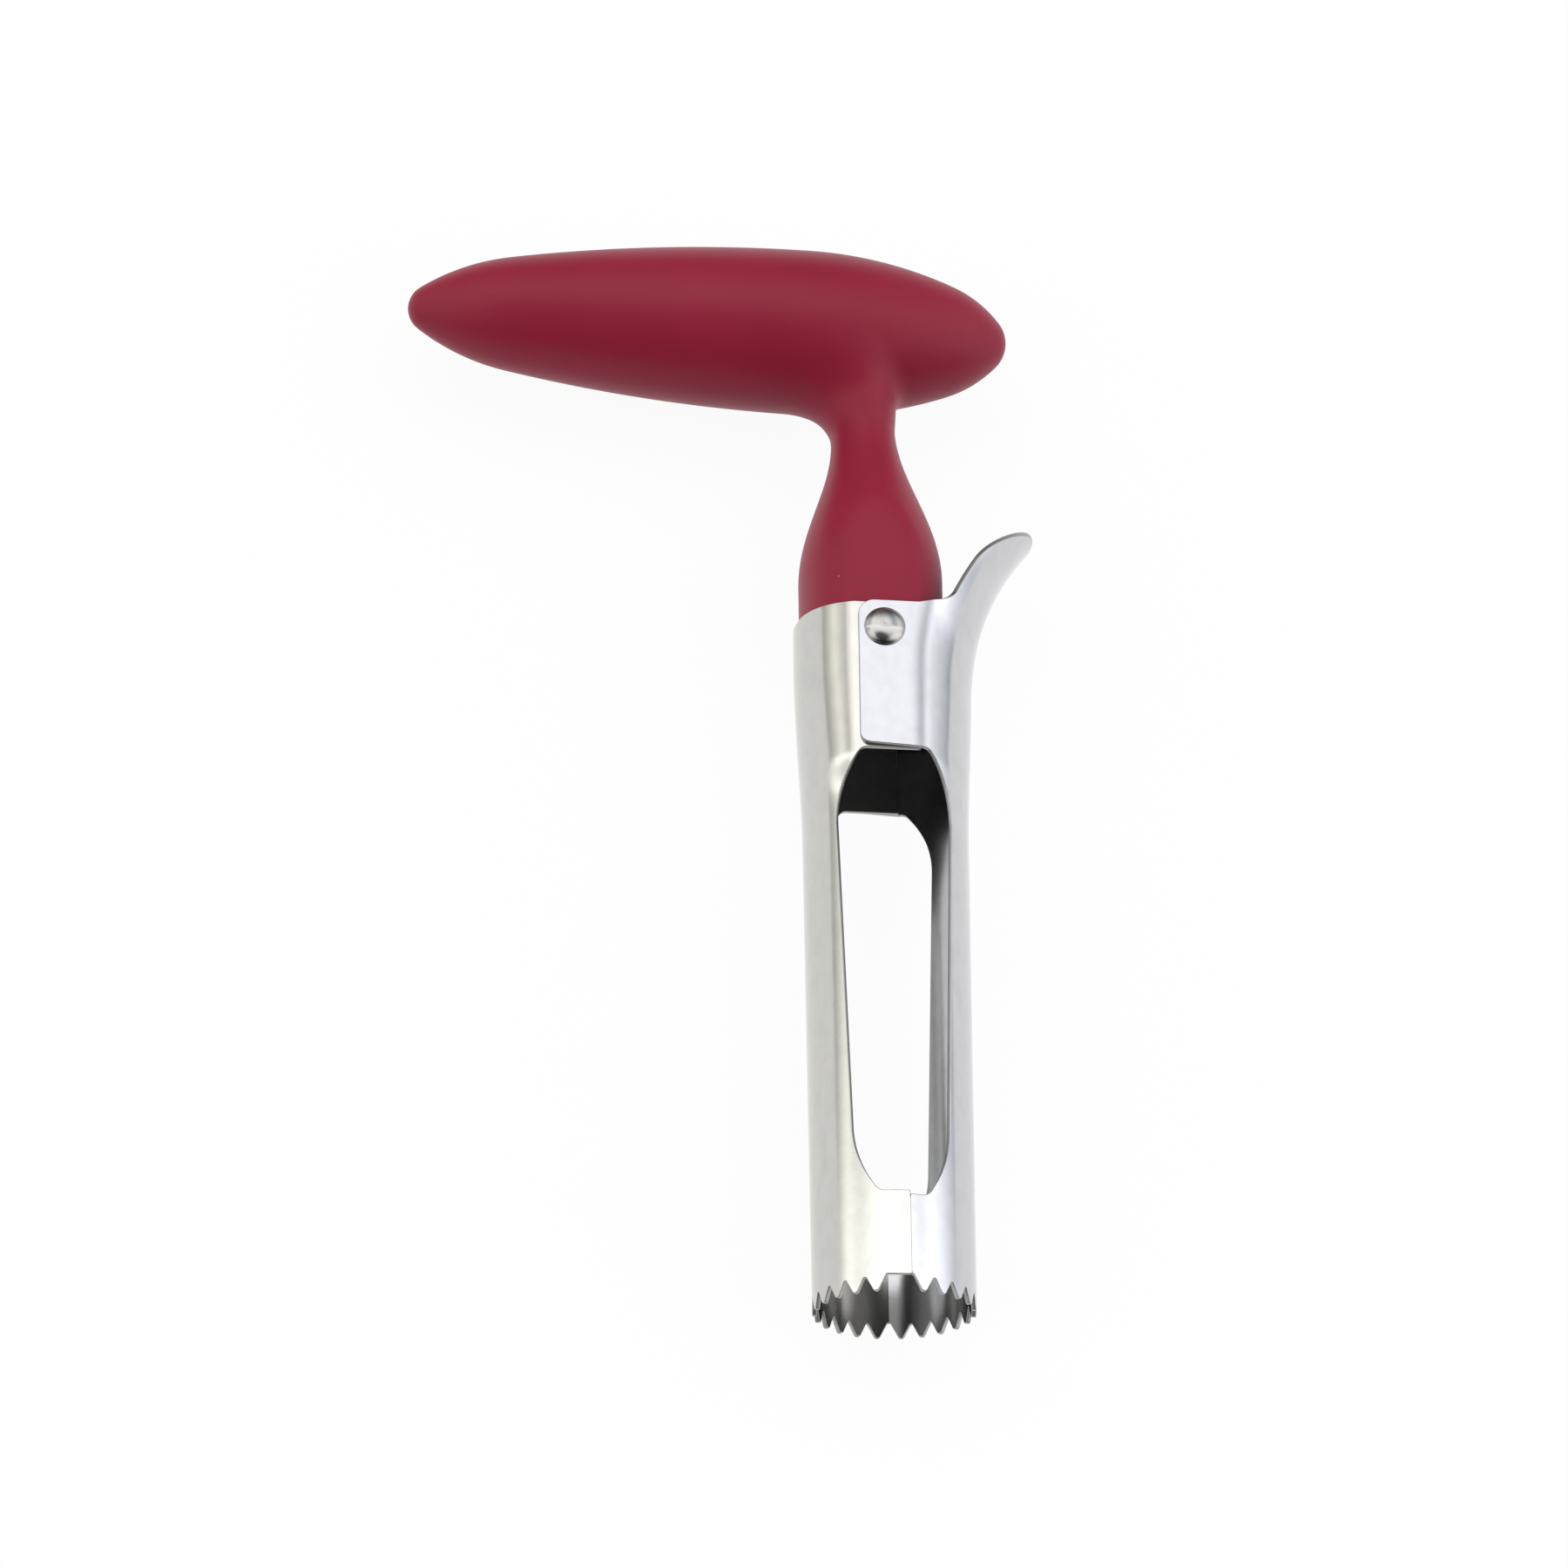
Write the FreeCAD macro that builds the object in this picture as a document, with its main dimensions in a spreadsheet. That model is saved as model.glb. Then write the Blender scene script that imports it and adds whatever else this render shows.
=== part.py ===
import FreeCAD, Part
import math
import os
import re

import Sketcher

# Fruit corer with an opening tube, in millimetres.
# The origin is the centre of the toothed mouth, +Y runs up the tube to the handle,
# +X points to the side of the thumb lever and +Z is the front, where the rivet head shows.

SIZES = [
    # tube, common to both halves
    ("mouth_radius", 13.0, "outer radius of the tube at the tips of its teeth"),
    ("tube_taper", 0.0095, "growth of that radius for each millimetre up the tube"),
    ("wall", 0.8, "thickness of the steel sheet"),
    ("seam_x", 0.95, "place of the seam between the halves, towards the lever"),
    ("seam_gap", 0.2, "clearance between the halves along the seam"),
    ("round_end", 80.0, "height where the round tube starts to widen and turn flat"),
    ("shoulder_end", 92.6, "height where the flats are formed and the ears begin"),
    ("shell_radius", 14.9, "half width of the tube at the ears"),
    ("shell_top", 119.3, "height of the ears' upper edge"),
    # teeth
    ("tooth_height", 2.6, "depth of the notches between the teeth"),
    ("fixed_teeth", 11, "teeth on the fixed half"),
    ("lever_teeth", 11, "teeth on the lever half"),
    ("land_angle", 17.5, "arc beside the front seam that has no teeth, in degrees"),
    ("seam_land", 1.1, "arc between each seam and the middle of the next notch, in degrees"),
    ("notch_round", 0.3, "radius at the bottom of a notch"),
    ("tip_flat", 0.7, "width of a tooth at its tip"),
    # windows
    ("window_bottom", 16.3, "lower edge of the windows in the fixed half"),
    ("window_drop", 0.6, "how much lower that edge lies in the lever half"),
    ("foot_rise", 0.6, "how much higher the lever ears' foot lies at their free edge"),
    ("window_low_half", 7.7, "half width of the windows near the lower end"),
    ("window_high_half", 9.8, "half width of the windows near the upper end"),
    ("window_base_half", 3.9, "half width of the lower edge"),
    ("window_head_half", 5.6, "half width of the upper edge"),
    ("window_base_curve", 5.7, "height of the curve above the lower edge"),
    ("window_head_curve", 6.1, "height of the curve below the upper edge"),
    ("window_corner", 1.7, "radius of the windows' corners"),
    ("window_flank", 19.0, "radius that leads the corners into the sides"),
    # ears and hinge
    ("fixed_flat", 13.4, "outer face of the fixed ears, from the middle plane"),
    ("fixed_flat_edge", 6.4, "where the fixed flats start to curve, left of the axis"),
    ("fixed_ear_reach", 4.2, "end of the fixed ears, right of the axis"),
    ("fixed_ear_round", 4.5, "radius of the fixed ears' upper corner"),
    ("side_rise", 1.0, "how far the fixed half stands higher at its side"),
    ("ear_gap", 0.06, "running gap between a fixed ear and a lever ear"),
    ("lever_flat_edge", 4.35, "where the lever flats start to curve, right of the axis"),
    ("lever_ear_reach", 5.9, "free edge of the lever ears, left of the axis"),
    ("ear_upper_round", 2.8, "radius of the lever ears' upper corner"),
    ("ear_lower_round", 1.7, "radius of the ears' lower corners"),
    ("pivot_x", -1.54, "place of the rivet across the tube"),
    ("pivot_y", 114.3, "height of the rivet"),
    # thumb lever
    ("flare_start", 107.0, "height where the lever starts to bend outwards"),
    ("flare_bend", 48.0, "radius of that bend"),
    ("lever_tip", 137.9, "height of the lever's tip"),
    ("lever_root_half", 12.6, "half width of the lever at its root"),
    ("lever_end_half", 10.7, "half width of the lever below its tip"),
    ("lever_root_round", 4.0, "radius between the ear and the lever"),
    ("lever_tip_round", 9.6, "radius of the lever's corners"),
    # rivet
    ("shank_radius", 2.0, "outer radius of the rivet's sleeve"),
    ("pin_radius", 1.2, "radius of the pin pressed into the sleeve"),
    ("bearing_clearance", 0.05, "radial running clearance of the lever ears"),
    ("seat_clearance", 0.02, "radial clearance of the rivet in the fixed parts"),
    ("head_radius", 3.45, "radius of the rivet heads"),
    ("head_height", 1.5, "height of the rivet heads"),
    ("head_rim", 0.4, "straight rim of the rivet heads"),
    ("head_gap", 0.06, "running gap between a lever ear and a rivet head"),
    ("pin_reach", 20.0, "length of the pin inside the sleeve"),
    # handle
    ("handle_x", -1.8, "middle of the stem across the tube"),
    ("plug_reach", 9.3, "how far the plug reaches below the rivet"),
    ("plug_side_gap", 0.15, "gap between the plug and the side of the fixed half"),
    ("plug_clearance", 0.1, "gap between the plug's flats and the fixed ears"),
    ("skin_bottom", 118.0, "lower edge of the soft skin, inside the tube"),
    ("skin", 2.0, "thickness of the soft skin"),
    ("flare_y", 129.0, "height of the stem's widest part"),
    ("flare_half_width", 12.2, "half width of the stem there"),
    ("flare_half_depth", 14.3, "half depth of the stem there, before its flats"),
    ("neck_y", 158.3, "height of the stem's waist"),
    ("neck_half_width", 5.5, "half width of the waist"),
    ("neck_half_depth", 7.2, "half depth of the waist"),
    ("neck_lean", 0.85, "how far the waist leans away from the lever"),
    ("neck_blend", 3.2, "radius between the stem and the crossbar"),
    ("bar_y", 178.13, "height of the crossbar's thickest section"),
    ("bar_radius", 14.3, "radius of that section"),
    ("bar_crown_x", -12.7, "place of that section across the tube"),
    ("bar_long", 68.9, "length of the crossbar's long end from there"),
    ("long_tip", 1.45, "radius of its tip, compared with an ellipse's"),
    ("long_flank", 1.25, "radius of its flank, compared with the mean of its length and radius"),
    ("long_crown", 0.9, "radius lengthwise at its root, compared with an ellipse's"),
    ("bar_short", 35.6, "length of its short end from there"),
    ("short_tip", 1.0, "radius of that tip, compared in the same way"),
    ("short_flank", 0.95, "radius of that flank"),
    ("short_crown", 0.825, "radius lengthwise at that root"),
    ("bar_slope", 0.68, "slope of the crossbar, down towards its short end, in degrees"),
]

OVERSHOOT = 1.0     # how far a cutting shape runs past the surface it cuts
REACH = 40.0        # farther out than any part of the tube
STEM_STEPS = 4      # sections between the stem's widest part and its waist
CORE_STEPS = 3      # the same for the hidden core
CORE_SHARES = (0, 0.45, 0.75, 0.92)    # where the core bar's cones meet, along each end

doc = FreeCAD.newDocument("fruit_corer")
sheet = doc.addObject("Spreadsheet::Sheet", "Sizes")
for row, (alias, value, meaning) in enumerate(SIZES, start=1):
    sheet.set(f"A{row}", meaning)
    sheet.set(f"B{row}", str(value))
    sheet.setAlias(f"B{row}", alias)
doc.recompute()
ALIASES = {alias for alias, value, meaning in SIZES}


def formula(text):
    """Turns a formula of plain size names into one that reads the sheet."""
    return re.sub(r"[a-z_]+", lambda word: "Sizes." * (word[0] in ALIASES) + word[0], str(text))


def value_of(text):
    """Value of a formula of plain size names."""
    return float(sheet.evalExpression(str(text)))


def bind(obj, **properties):
    """Binds properties of an object to formulas; a double underscore stands for a dot."""
    for name, text in properties.items():
        obj.setExpression(name.replace("__", "."), formula(text))


def new_body(label):
    body = doc.addObject("PartDesign::Body", label)
    body.Label = label
    return body


def origin_feature(body, role):
    return next(item for item in body.Origin.OriginFeatures if item.Role == role)


def new_sketch(body, role, offset="0", turn="0"):
    """A sketch on one of the body's own planes, moved along and turned about its axes."""
    sketch = body.newObject("Sketcher::SketchObject", body.Label + "_sketch")
    sketch.AttachmentSupport = (origin_feature(body, role), [""])
    sketch.MapMode = "FlatFace"
    sketch.AttachmentOffset = FreeCAD.Placement(
        FreeCAD.Vector(0, 0, value_of(offset)),
        FreeCAD.Rotation(FreeCAD.Vector(1, 0, 0), value_of(turn)))
    bind(sketch, AttachmentOffset__Base__z=offset, AttachmentOffset__Rotation__Angle=turn)
    return sketch


def fix(sketch, kind, *args):
    """Adds a constraint whose last argument is a formula."""
    text = args[-1]
    index = sketch.addConstraint(Sketcher.Constraint(kind, *args[:-1], value_of(text)))
    sketch.setExpression(f"Constraints[{index}]", formula(text))


def place_point(sketch, item, end, x, y):
    """Holds a point at two formulas, measured from the sketch's origin."""
    fix(sketch, "DistanceX", -1, 1, item, end, x)
    fix(sketch, "DistanceY", -1, 1, item, end, y)


def join(sketch, kind, line, line_end, arc, point):
    """Joins a line's end to the arc's end that lies at the point."""
    arc_end = 1 if sketch.getPoint(arc, 1).distanceToPoint(point) < 1e-6 else 2
    sketch.addConstraint(Sketcher.Constraint(kind, line, line_end, arc, arc_end))


def outline(sketch, corners):
    """Draws a closed outline of straight sides.

    Each corner is x, y and, where it is rounded, a radius, all as formulas.
    """
    points = [FreeCAD.Vector(value_of(c[0]), value_of(c[1]), 0) for c in corners]
    count = len(points)
    arrive = []
    leave = []
    middle = []
    for i, corner in enumerate(corners):
        before = (points[i - 1] - points[i]).normalize()
        after = (points[(i + 1) % count] - points[i]).normalize()
        radius = value_of(corner[2]) if len(corner) > 2 else 0.0
        half = before.getAngle(after) / 2
        arrive.append(points[i] + before * (radius / math.tan(half)))
        leave.append(points[i] + after * (radius / math.tan(half)))
        inward = (before + after).normalize() if radius else before
        middle.append(points[i] + inward * (radius / math.sin(half) - radius))
    lines = [
        sketch.addGeometry(Part.LineSegment(leave[i], arrive[(i + 1) % count]))
        for i in range(count)
    ]
    for i, corner in enumerate(corners):
        before = lines[i - 1]
        after = lines[i]
        if len(corner) == 2:
            sketch.addConstraint(Sketcher.Constraint("Coincident", before, 2, after, 1))
            place_point(sketch, after, 1, corner[0], corner[1])
            continue
        mark = sketch.addGeometry(Part.Point(points[i]), True)
        place_point(sketch, mark, 1, corner[0], corner[1])
        sketch.addConstraint(Sketcher.Constraint("PointOnObject", mark, 1, before))
        sketch.addConstraint(Sketcher.Constraint("PointOnObject", mark, 1, after))
        arc = sketch.addGeometry(Part.Arc(arrive[i], middle[i], leave[i]))
        join(sketch, "Tangent", before, 2, arc, arrive[i])
        join(sketch, "Tangent", after, 1, arc, leave[i])
        fix(sketch, "Radius", arc, corner[2])


def feature(body, kind, sketch, label, **settings):
    """Adds a feature on a sketch and checks that it changed the solid."""
    before = body.Shape.Volume if body.Tip else 0.0
    made = body.newObject("PartDesign::" + kind, label)
    made.Profile = sketch
    for name, value in settings.items():
        setattr(made, name, value)
    body.Tip = made
    doc.recompute()
    if abs(body.Shape.Volume - before) < 1e-6:
        raise RuntimeError(f"{body.Label}: {label} changes nothing")
    return made


def cut_through(body, sketch, label):
    """Cuts a sketch right through the body, both ways."""
    return feature(body, "Pocket", sketch, label, Type="ThroughAll", Midplane=True)


def half_section(body, height, side, ear, flat, depth, width):
    """One closed section of a tube half: flat front, round side, flat back.

    side is 1 for the lever half and -1 for the fixed half. ear is how far the section
    reaches past the axis on the other side, flat where its flats end, depth the distance
    of the flats from the middle plane and width its reach on its own side.
    """
    sketch = new_sketch(body, "XZ_Plane", offset=f"-({height})")
    ear_x = f"{-side} * ({ear})"
    flat_x = f"{side} * ({flat})"
    radius = f"((({width}) - ({flat}))^2 + ({depth})^2) / (2 * (({width}) - ({flat})))"
    top = [FreeCAD.Vector(value_of(x), value_of(depth), 0) for x in (ear_x, flat_x)]
    low = [FreeCAD.Vector(point.x, -point.y, 0) for point in top]
    outer = FreeCAD.Vector(side * value_of(width), 0, 0)
    front = sketch.addGeometry(Part.LineSegment(top[0], top[1]))
    back = sketch.addGeometry(Part.LineSegment(low[1], low[0]))
    closing = sketch.addGeometry(Part.LineSegment(low[0], top[0]))
    arc = sketch.addGeometry(Part.Arc(top[1], outer, low[1]))
    place_point(sketch, front, 1, ear_x, depth)
    place_point(sketch, front, 2, flat_x, depth)
    place_point(sketch, back, 1, flat_x, f"-({depth})")
    place_point(sketch, back, 2, ear_x, f"-({depth})")
    sketch.addConstraint(Sketcher.Constraint("Coincident", back, 2, closing, 1))
    sketch.addConstraint(Sketcher.Constraint("Coincident", closing, 2, front, 1))
    join(sketch, "Coincident", front, 2, arc, top[1])
    join(sketch, "Coincident", back, 1, arc, low[1])
    fix(sketch, "Radius", arc, radius)
    return sketch


def loft(body, kind, label, heights, shape, ruled):
    """Lofts a half's section over the given heights, adding or taking away."""
    sections = [half_section(body, height, *shape(height, share)) for share, height in heights]
    feature(body, kind, sections[0], label, Sections=sections[1:], Ruled=ruled)


def even_heights(start, end, steps):
    """Heights from start to end, each with its share of the way."""
    return [(step / steps, f"({start}) + (({end}) - ({start})) * {step / steps}")
            for step in range(steps + 1)]


def tube_radius(height):
    return f"mouth_radius + tube_taper * ({height})"


def blend(share, start, end):
    """A formula that eases from start to end as share goes from 0 to 1."""
    return f"({start}) + (({end}) - ({start})) * (1 - cos(180deg * ({share}))) / 2"


def flare(height):
    """How far the thumb lever has bent outwards at a height."""
    return f"(flare_bend - sqrt(flare_bend^2 - (({height}) - flare_start)^2))"


def flare_slant(height):
    """Thickness of the bent sheet, measured level, over its real thickness."""
    return f"(flare_bend / sqrt(flare_bend^2 - (({height}) - flare_start)^2))"


def turn_ring(body, inset, low, high):
    """Turns the tapered round stretch about the tube's axis, solid or, when inset, as a hollow."""
    sketch = new_sketch(body, "XY_Plane")
    outline(sketch, [
        ("0", low),
        (f"{tube_radius(low)} - {inset}", low),
        (f"{tube_radius(high)} - {inset}", high),
        ("0", high),
    ])
    kind = "Revolution" if inset == "0" else "Groove"
    feature(body, kind, sketch, "ring", ReferenceAxis=(sketch, ["V_Axis"]), Angle=360.0)


def build_up(body, side, ear, inset, round_flat, flat, depth, top, flared):
    """Adds the full outer form of a half, or takes away its hollow when inset by the wall."""
    kind = "AdditiveLoft" if inset == "0" else "SubtractiveLoft"
    end = "0" if inset == "0" else f"{OVERSHOOT}"

    def section(height, share, reach):
        round_depth = f"sqrt({reach}^2 - ({round_flat})^2)"
        return (side, ear, blend(share, round_flat, flat),
                blend(share, round_depth, f"{depth} - {inset}"), reach)

    def widened(height):
        way = f"({height} - round_end) / (flare_start - round_end)"
        return blend(way, f"{tube_radius(height)} - {inset}", f"shell_radius - {inset}")

    def shoulder(height, share):
        return section(height, share, f"({widened(height)})")

    def ears(height, share):
        return side, ear, flat, f"{depth} - {inset}", widened(height)

    def crown(height, share):
        if not flared:
            return side, ear, flat, f"{depth} - {inset}", f"shell_radius - {inset}"
        return (side, ear, f"{flat} + {flare(height)}", f"{depth} - {inset}",
                f"shell_radius + {flare(height)} - {inset} * {flare_slant(height)}")

    turn_ring(body, inset, f"-{end}", "round_end")
    loft(body, kind, "shoulder", even_heights("round_end", "shoulder_end", 4), shoulder, False)
    loft(body, kind, "ears", even_heights("shoulder_end", "flare_start", 3), ears, False)
    loft(body, kind, "crown", even_heights("flare_start", f"{top} + {end}", 6 if flared else 1),
         crown, not flared)


def ear_foot(x):
    """Height of the lever ears' sloping foot at a place across the tube."""
    return (f"(shoulder_end + foot_rise * (window_head_half - ({x}))"
            " / (window_head_half + lever_ear_reach))")


def window_corners(side, bottom, far_top):
    """Half of the window outline, closed well beyond the seam."""
    far = f"{-side} * 2 * window_high_half"
    return [
        (far, bottom),
        (f"{side} * window_base_half", bottom, "window_corner"),
        (f"{side} * window_low_half", "window_bottom + window_base_curve", "window_flank"),
        (f"{side} * window_high_half", "shoulder_end - window_head_curve", "window_flank"),
        (f"{side} * window_head_half", "shoulder_end", "window_corner"),
        (far, far_top),
    ]


def cut_notches(body, side, first_angle, pitch, teeth):
    """Cuts the notches between the teeth and repeats them round the mouth.

    first_angle is measured from the front, round the half's own side.
    """
    notch_half = f"(({pitch}) * 3.14159265 / 180 * mouth_radius - tip_flat) / 2"
    turn = f"{-side} * (90 - ({first_angle}))"
    sketch = new_sketch(body, "YZ_Plane", turn=turn)
    grow = f"(1 + {OVERSHOOT} / tooth_height)"
    outline(sketch, [
        (f"-{OVERSHOOT}", f"-({notch_half}) * {grow}"),
        (f"-{OVERSHOOT}", f"({notch_half}) * {grow}"),
        ("tooth_height", "0", "notch_round"),
    ])
    notch = feature(body, "Pocket", sketch, body.Label + "_notch",
                    Length=REACH, Reversed=side > 0)
    ring = body.newObject("PartDesign::PolarPattern", body.Label + "_notches")
    ring.Originals = [notch]
    ring.Axis = (origin_feature(body, "Y_Axis"), [""])
    bind(ring, Occurrences=f"{teeth} + 1", Angle=f"({pitch}) * {teeth}")
    ring.Reversed = side < 0
    before = body.Shape.Volume
    body.Tip = ring
    doc.recompute()
    if body.Shape.Volume > before - 1.0:
        raise RuntimeError(f"{body.Label}: the notches are not repeated")


def drill_pivot(body, clearance):
    """Hole for the rivet, through both ears."""
    sketch = new_sketch(body, "XY_Plane")
    circle = sketch.addGeometry(Part.Circle(
        FreeCAD.Vector(value_of("pivot_x"), value_of("pivot_y"), 0),
        FreeCAD.Vector(0, 0, 1), value_of("shank_radius")))
    place_point(sketch, circle, 3, "pivot_x", "pivot_y")
    fix(sketch, "Radius", circle, f"shank_radius + {clearance}")
    cut_through(body, sketch, body.Label + "_pivot_hole")


SEAM_ANGLE = "asin(seam_x / mouth_radius) / 1deg"
LEVER_PITCH = f"((180 - 2 * {SEAM_ANGLE} - 2 * seam_land) / lever_teeth)"
FIXED_PITCH = f"((180 + 2 * {SEAM_ANGLE} - land_angle - seam_land) / fixed_teeth)"


def seam_notch_x(towards):
    """Place of the notch beside the seam, towards the lever (1) or away from it (-1)."""
    return f"mouth_radius * sin(({SEAM_ANGLE} + {towards} * seam_land) * 1deg)"


def make_fixed_half():
    """Left half of the tube, which the handle carries."""
    body = new_body("fixed_half_tube")
    side = -1
    top = f"shell_top + side_rise + {OVERSHOOT}"
    for reach, inset in (("fixed_ear_reach", "0"), (f"fixed_ear_reach + {OVERSHOOT}", "wall")):
        build_up(body, side, reach, inset, "0.5", "fixed_flat_edge", "fixed_flat", top, False)
    sketch = new_sketch(body, "XY_Plane")
    outline(sketch, window_corners(side, "window_bottom", "shoulder_end"))
    cut_through(body, sketch, "fixed_window")
    sketch = new_sketch(body, "XY_Plane")
    edge = "seam_x - seam_gap / 2"
    outline(sketch, [
        (seam_notch_x(-1), f"-{OVERSHOOT}"),
        (f"{REACH}", f"-{OVERSHOOT}"),
        (f"{REACH}", "shoulder_end"),
        (edge, "shoulder_end"),
        (edge, "tooth_height"),
        (seam_notch_x(-1), "tooth_height"),
    ])
    cut_through(body, sketch, "fixed_seam")
    # rounded upper corner of the ears, cut level with the top
    sketch = new_sketch(body, "XY_Plane")
    outline(sketch, [
        (f"{-REACH}", f"shell_top + side_rise + 3 * {OVERSHOOT}"),
        (f"{-REACH}", "shell_top + side_rise"),
        ("-shell_radius", "shell_top + side_rise"),
        ("-fixed_flat_edge", "shell_top", "shell_radius"),
        ("fixed_ear_reach", "shell_top", "fixed_ear_round"),
        ("fixed_ear_reach", f"shoulder_end - {OVERSHOOT}"),
        (f"{REACH}", f"shoulder_end - {OVERSHOOT}"),
        (f"{REACH}", f"shell_top + side_rise + 3 * {OVERSHOOT}"),
    ])
    cut_through(body, sketch, "fixed_top")
    drill_pivot(body, "seat_clearance")
    cut_notches(body, side, f"land_angle - {SEAM_ANGLE}", FIXED_PITCH, "fixed_teeth")
    # plain land beside the front seam
    sketch = new_sketch(body, "XY_Plane")
    land_x = f"-mouth_radius * sin((land_angle - {SEAM_ANGLE}) * 1deg)"
    outline(sketch, [
        (land_x, f"-{OVERSHOOT}"),
        (f"{REACH}", f"-{OVERSHOOT}"),
        (f"{REACH}", "tooth_height"),
        (land_x, "tooth_height"),
    ])
    feature(body, "Pocket", sketch, "fixed_land", Length=REACH, Reversed=True)
    return body


def make_lever_half():
    """Right half of the tube, which swings and ends in the thumb lever."""
    body = new_body("lever_half_tube")
    side = 1
    depth = "(fixed_flat + ear_gap + wall)"
    top = f"lever_tip + {OVERSHOOT}"
    for reach, inset in (("lever_ear_reach", "0"), (f"lever_ear_reach + {OVERSHOOT}", "wall")):
        build_up(body, side, reach, inset, "2", "lever_flat_edge", depth, top, True)
    sketch = new_sketch(body, "XY_Plane")
    foot = ear_foot("-2 * window_high_half")
    outline(sketch, window_corners(side, "window_bottom - window_drop", foot))
    cut_through(body, sketch, "lever_window")
    sketch = new_sketch(body, "XY_Plane")
    edge = "seam_x + seam_gap / 2"
    outline(sketch, [
        (seam_notch_x(1), f"-{OVERSHOOT}"),
        (seam_notch_x(1), "tooth_height"),
        (edge, "tooth_height"),
        (edge, ear_foot(edge)),
        ("-lever_ear_reach", ear_foot("-lever_ear_reach"), "ear_lower_round"),
        ("-lever_ear_reach", "shell_top", "ear_upper_round"),
        ("ear_upper_round", "shell_top"),
        ("ear_upper_round", f"lever_tip + 2 * {OVERSHOOT}"),
        (f"{-REACH}", f"lever_tip + 2 * {OVERSHOOT}"),
        (f"{-REACH}", f"-{OVERSHOOT}"),
    ])
    cut_through(body, sketch, "lever_seam_and_ears")
    # outline of the thumb lever, seen from its side
    sketch = new_sketch(body, "YZ_Plane")
    outline(sketch, [
        ("shell_top", f"-{REACH}"),
        ("shell_top", "-lever_root_half", "lever_root_round"),
        ("lever_tip", "-lever_end_half", "lever_tip_round"),
        ("lever_tip", "lever_end_half", "lever_tip_round"),
        ("shell_top", "lever_root_half", "lever_root_round"),
        ("shell_top", f"{REACH}"),
        (f"lever_tip + 2 * {OVERSHOOT}", f"{REACH}"),
        (f"lever_tip + 2 * {OVERSHOOT}", f"-{REACH}"),
    ])
    cut_through(body, sketch, "lever_outline")
    drill_pivot(body, "bearing_clearance")
    cut_notches(body, side, f"{SEAM_ANGLE} + seam_land", LEVER_PITCH, "lever_teeth")
    return body


def make_rivet_piece(label, side, profile):
    """A turned rivet piece about the pivot, from a profile given from the middle plane."""
    body = new_body(label)
    bind(body, Placement__Base__x="pivot_x", Placement__Base__y="pivot_y")
    sketch = new_sketch(body, "XZ_Plane")
    outline(sketch, [(c[0], f"{side} * ({c[1]})") + tuple(c[2:]) for c in profile])
    feature(body, "Revolution", sketch, label + "_turned",
            ReferenceAxis=(origin_feature(body, "Z_Axis"), [""]), Angle=360)
    return body


HEAD_FOOT = "fixed_flat + ear_gap + wall + head_gap"


def head_profile():
    """Domed head with a small centre dimple, from its rim to the axis."""
    return [
        ("head_radius", HEAD_FOOT),
        ("head_radius", f"{HEAD_FOOT} + head_rim", "head_rim"),
        ("head_radius * 0.62", f"{HEAD_FOOT} + head_height", "head_height"),
        ("head_radius * 0.16", f"{HEAD_FOOT} + head_height"),
        ("0", f"{HEAD_FOOT} + head_height * 0.86"),
    ]


def make_rivet():
    """Two-piece rivet: a sleeve headed at the front and a pin headed at the back."""
    sleeve = make_rivet_piece("rivet_sleeve", 1, head_profile() + [
        ("0", f"{HEAD_FOOT} - head_height"),
        ("pin_radius", f"{HEAD_FOOT} - head_height"),
        ("pin_radius", f"-({HEAD_FOOT})"),
        ("shank_radius", f"-({HEAD_FOOT})"),
        ("shank_radius", HEAD_FOOT),
    ])
    pin = make_rivet_piece("rivet_pin", -1, head_profile() + [
        ("0", f"{HEAD_FOOT} - pin_reach"),
        ("pin_radius", f"{HEAD_FOOT} - pin_reach", "pin_radius / 3"),
        ("pin_radius", HEAD_FOOT),
    ])
    return [sleeve, pin]


PLUG_HALF_WIDTH = "shell_radius - wall - plug_side_gap + handle_x"
PLUG_BOTTOM = "pivot_y - plug_reach"


def level_ellipse(label, height, half_width, half_depth, lean="0"):
    """An ellipse about the stem's middle, in a level plane."""
    ring = doc.addObject("Part::Ellipse", label)
    deep = value_of(half_depth) >= value_of(half_width)
    if deep:
        ring.Placement.Rotation = FreeCAD.Rotation(FreeCAD.Vector(1, 1, 1), -120)
    else:
        ring.Placement.Rotation = FreeCAD.Rotation(FreeCAD.Vector(1, 0, 0), -90)
    ring.MajorRadius = REACH
    bind(ring, MajorRadius=half_depth if deep else half_width,
         MinorRadius=half_width if deep else half_depth,
         Placement__Base__x=f"handle_x - {lean}", Placement__Base__y=height)
    return ring


def stem_sections():
    """Ellipses up the stem, from inside the tube to inside the crossbar."""
    rows = [
        ("skin_bottom", PLUG_HALF_WIDTH, "fixed_flat", "0"),
        ("shell_top + side_rise", PLUG_HALF_WIDTH, "fixed_flat", "0"),
    ]
    for step in range(STEM_STEPS + 1):
        share = step / STEM_STEPS
        rows.append((
            f"flare_y + (neck_y - flare_y) * {share}",
            blend(share, "flare_half_width", "neck_half_width"),
            blend(share, "flare_half_depth", "neck_half_depth"),
            f"neck_lean * {share ** 2}",
        ))
    rows.append(("bar_y - bar_radius", "neck_half_width * 1.12", "neck_half_depth * 1.05",
                 "neck_lean * 1.3"))
    rows.append(("bar_y - bar_radius / 2", "neck_half_width * 1.2", "neck_half_depth * 1.1",
                 "neck_lean * 1.5"))
    return [level_ellipse("stem_section", *row) for row in rows]


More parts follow.
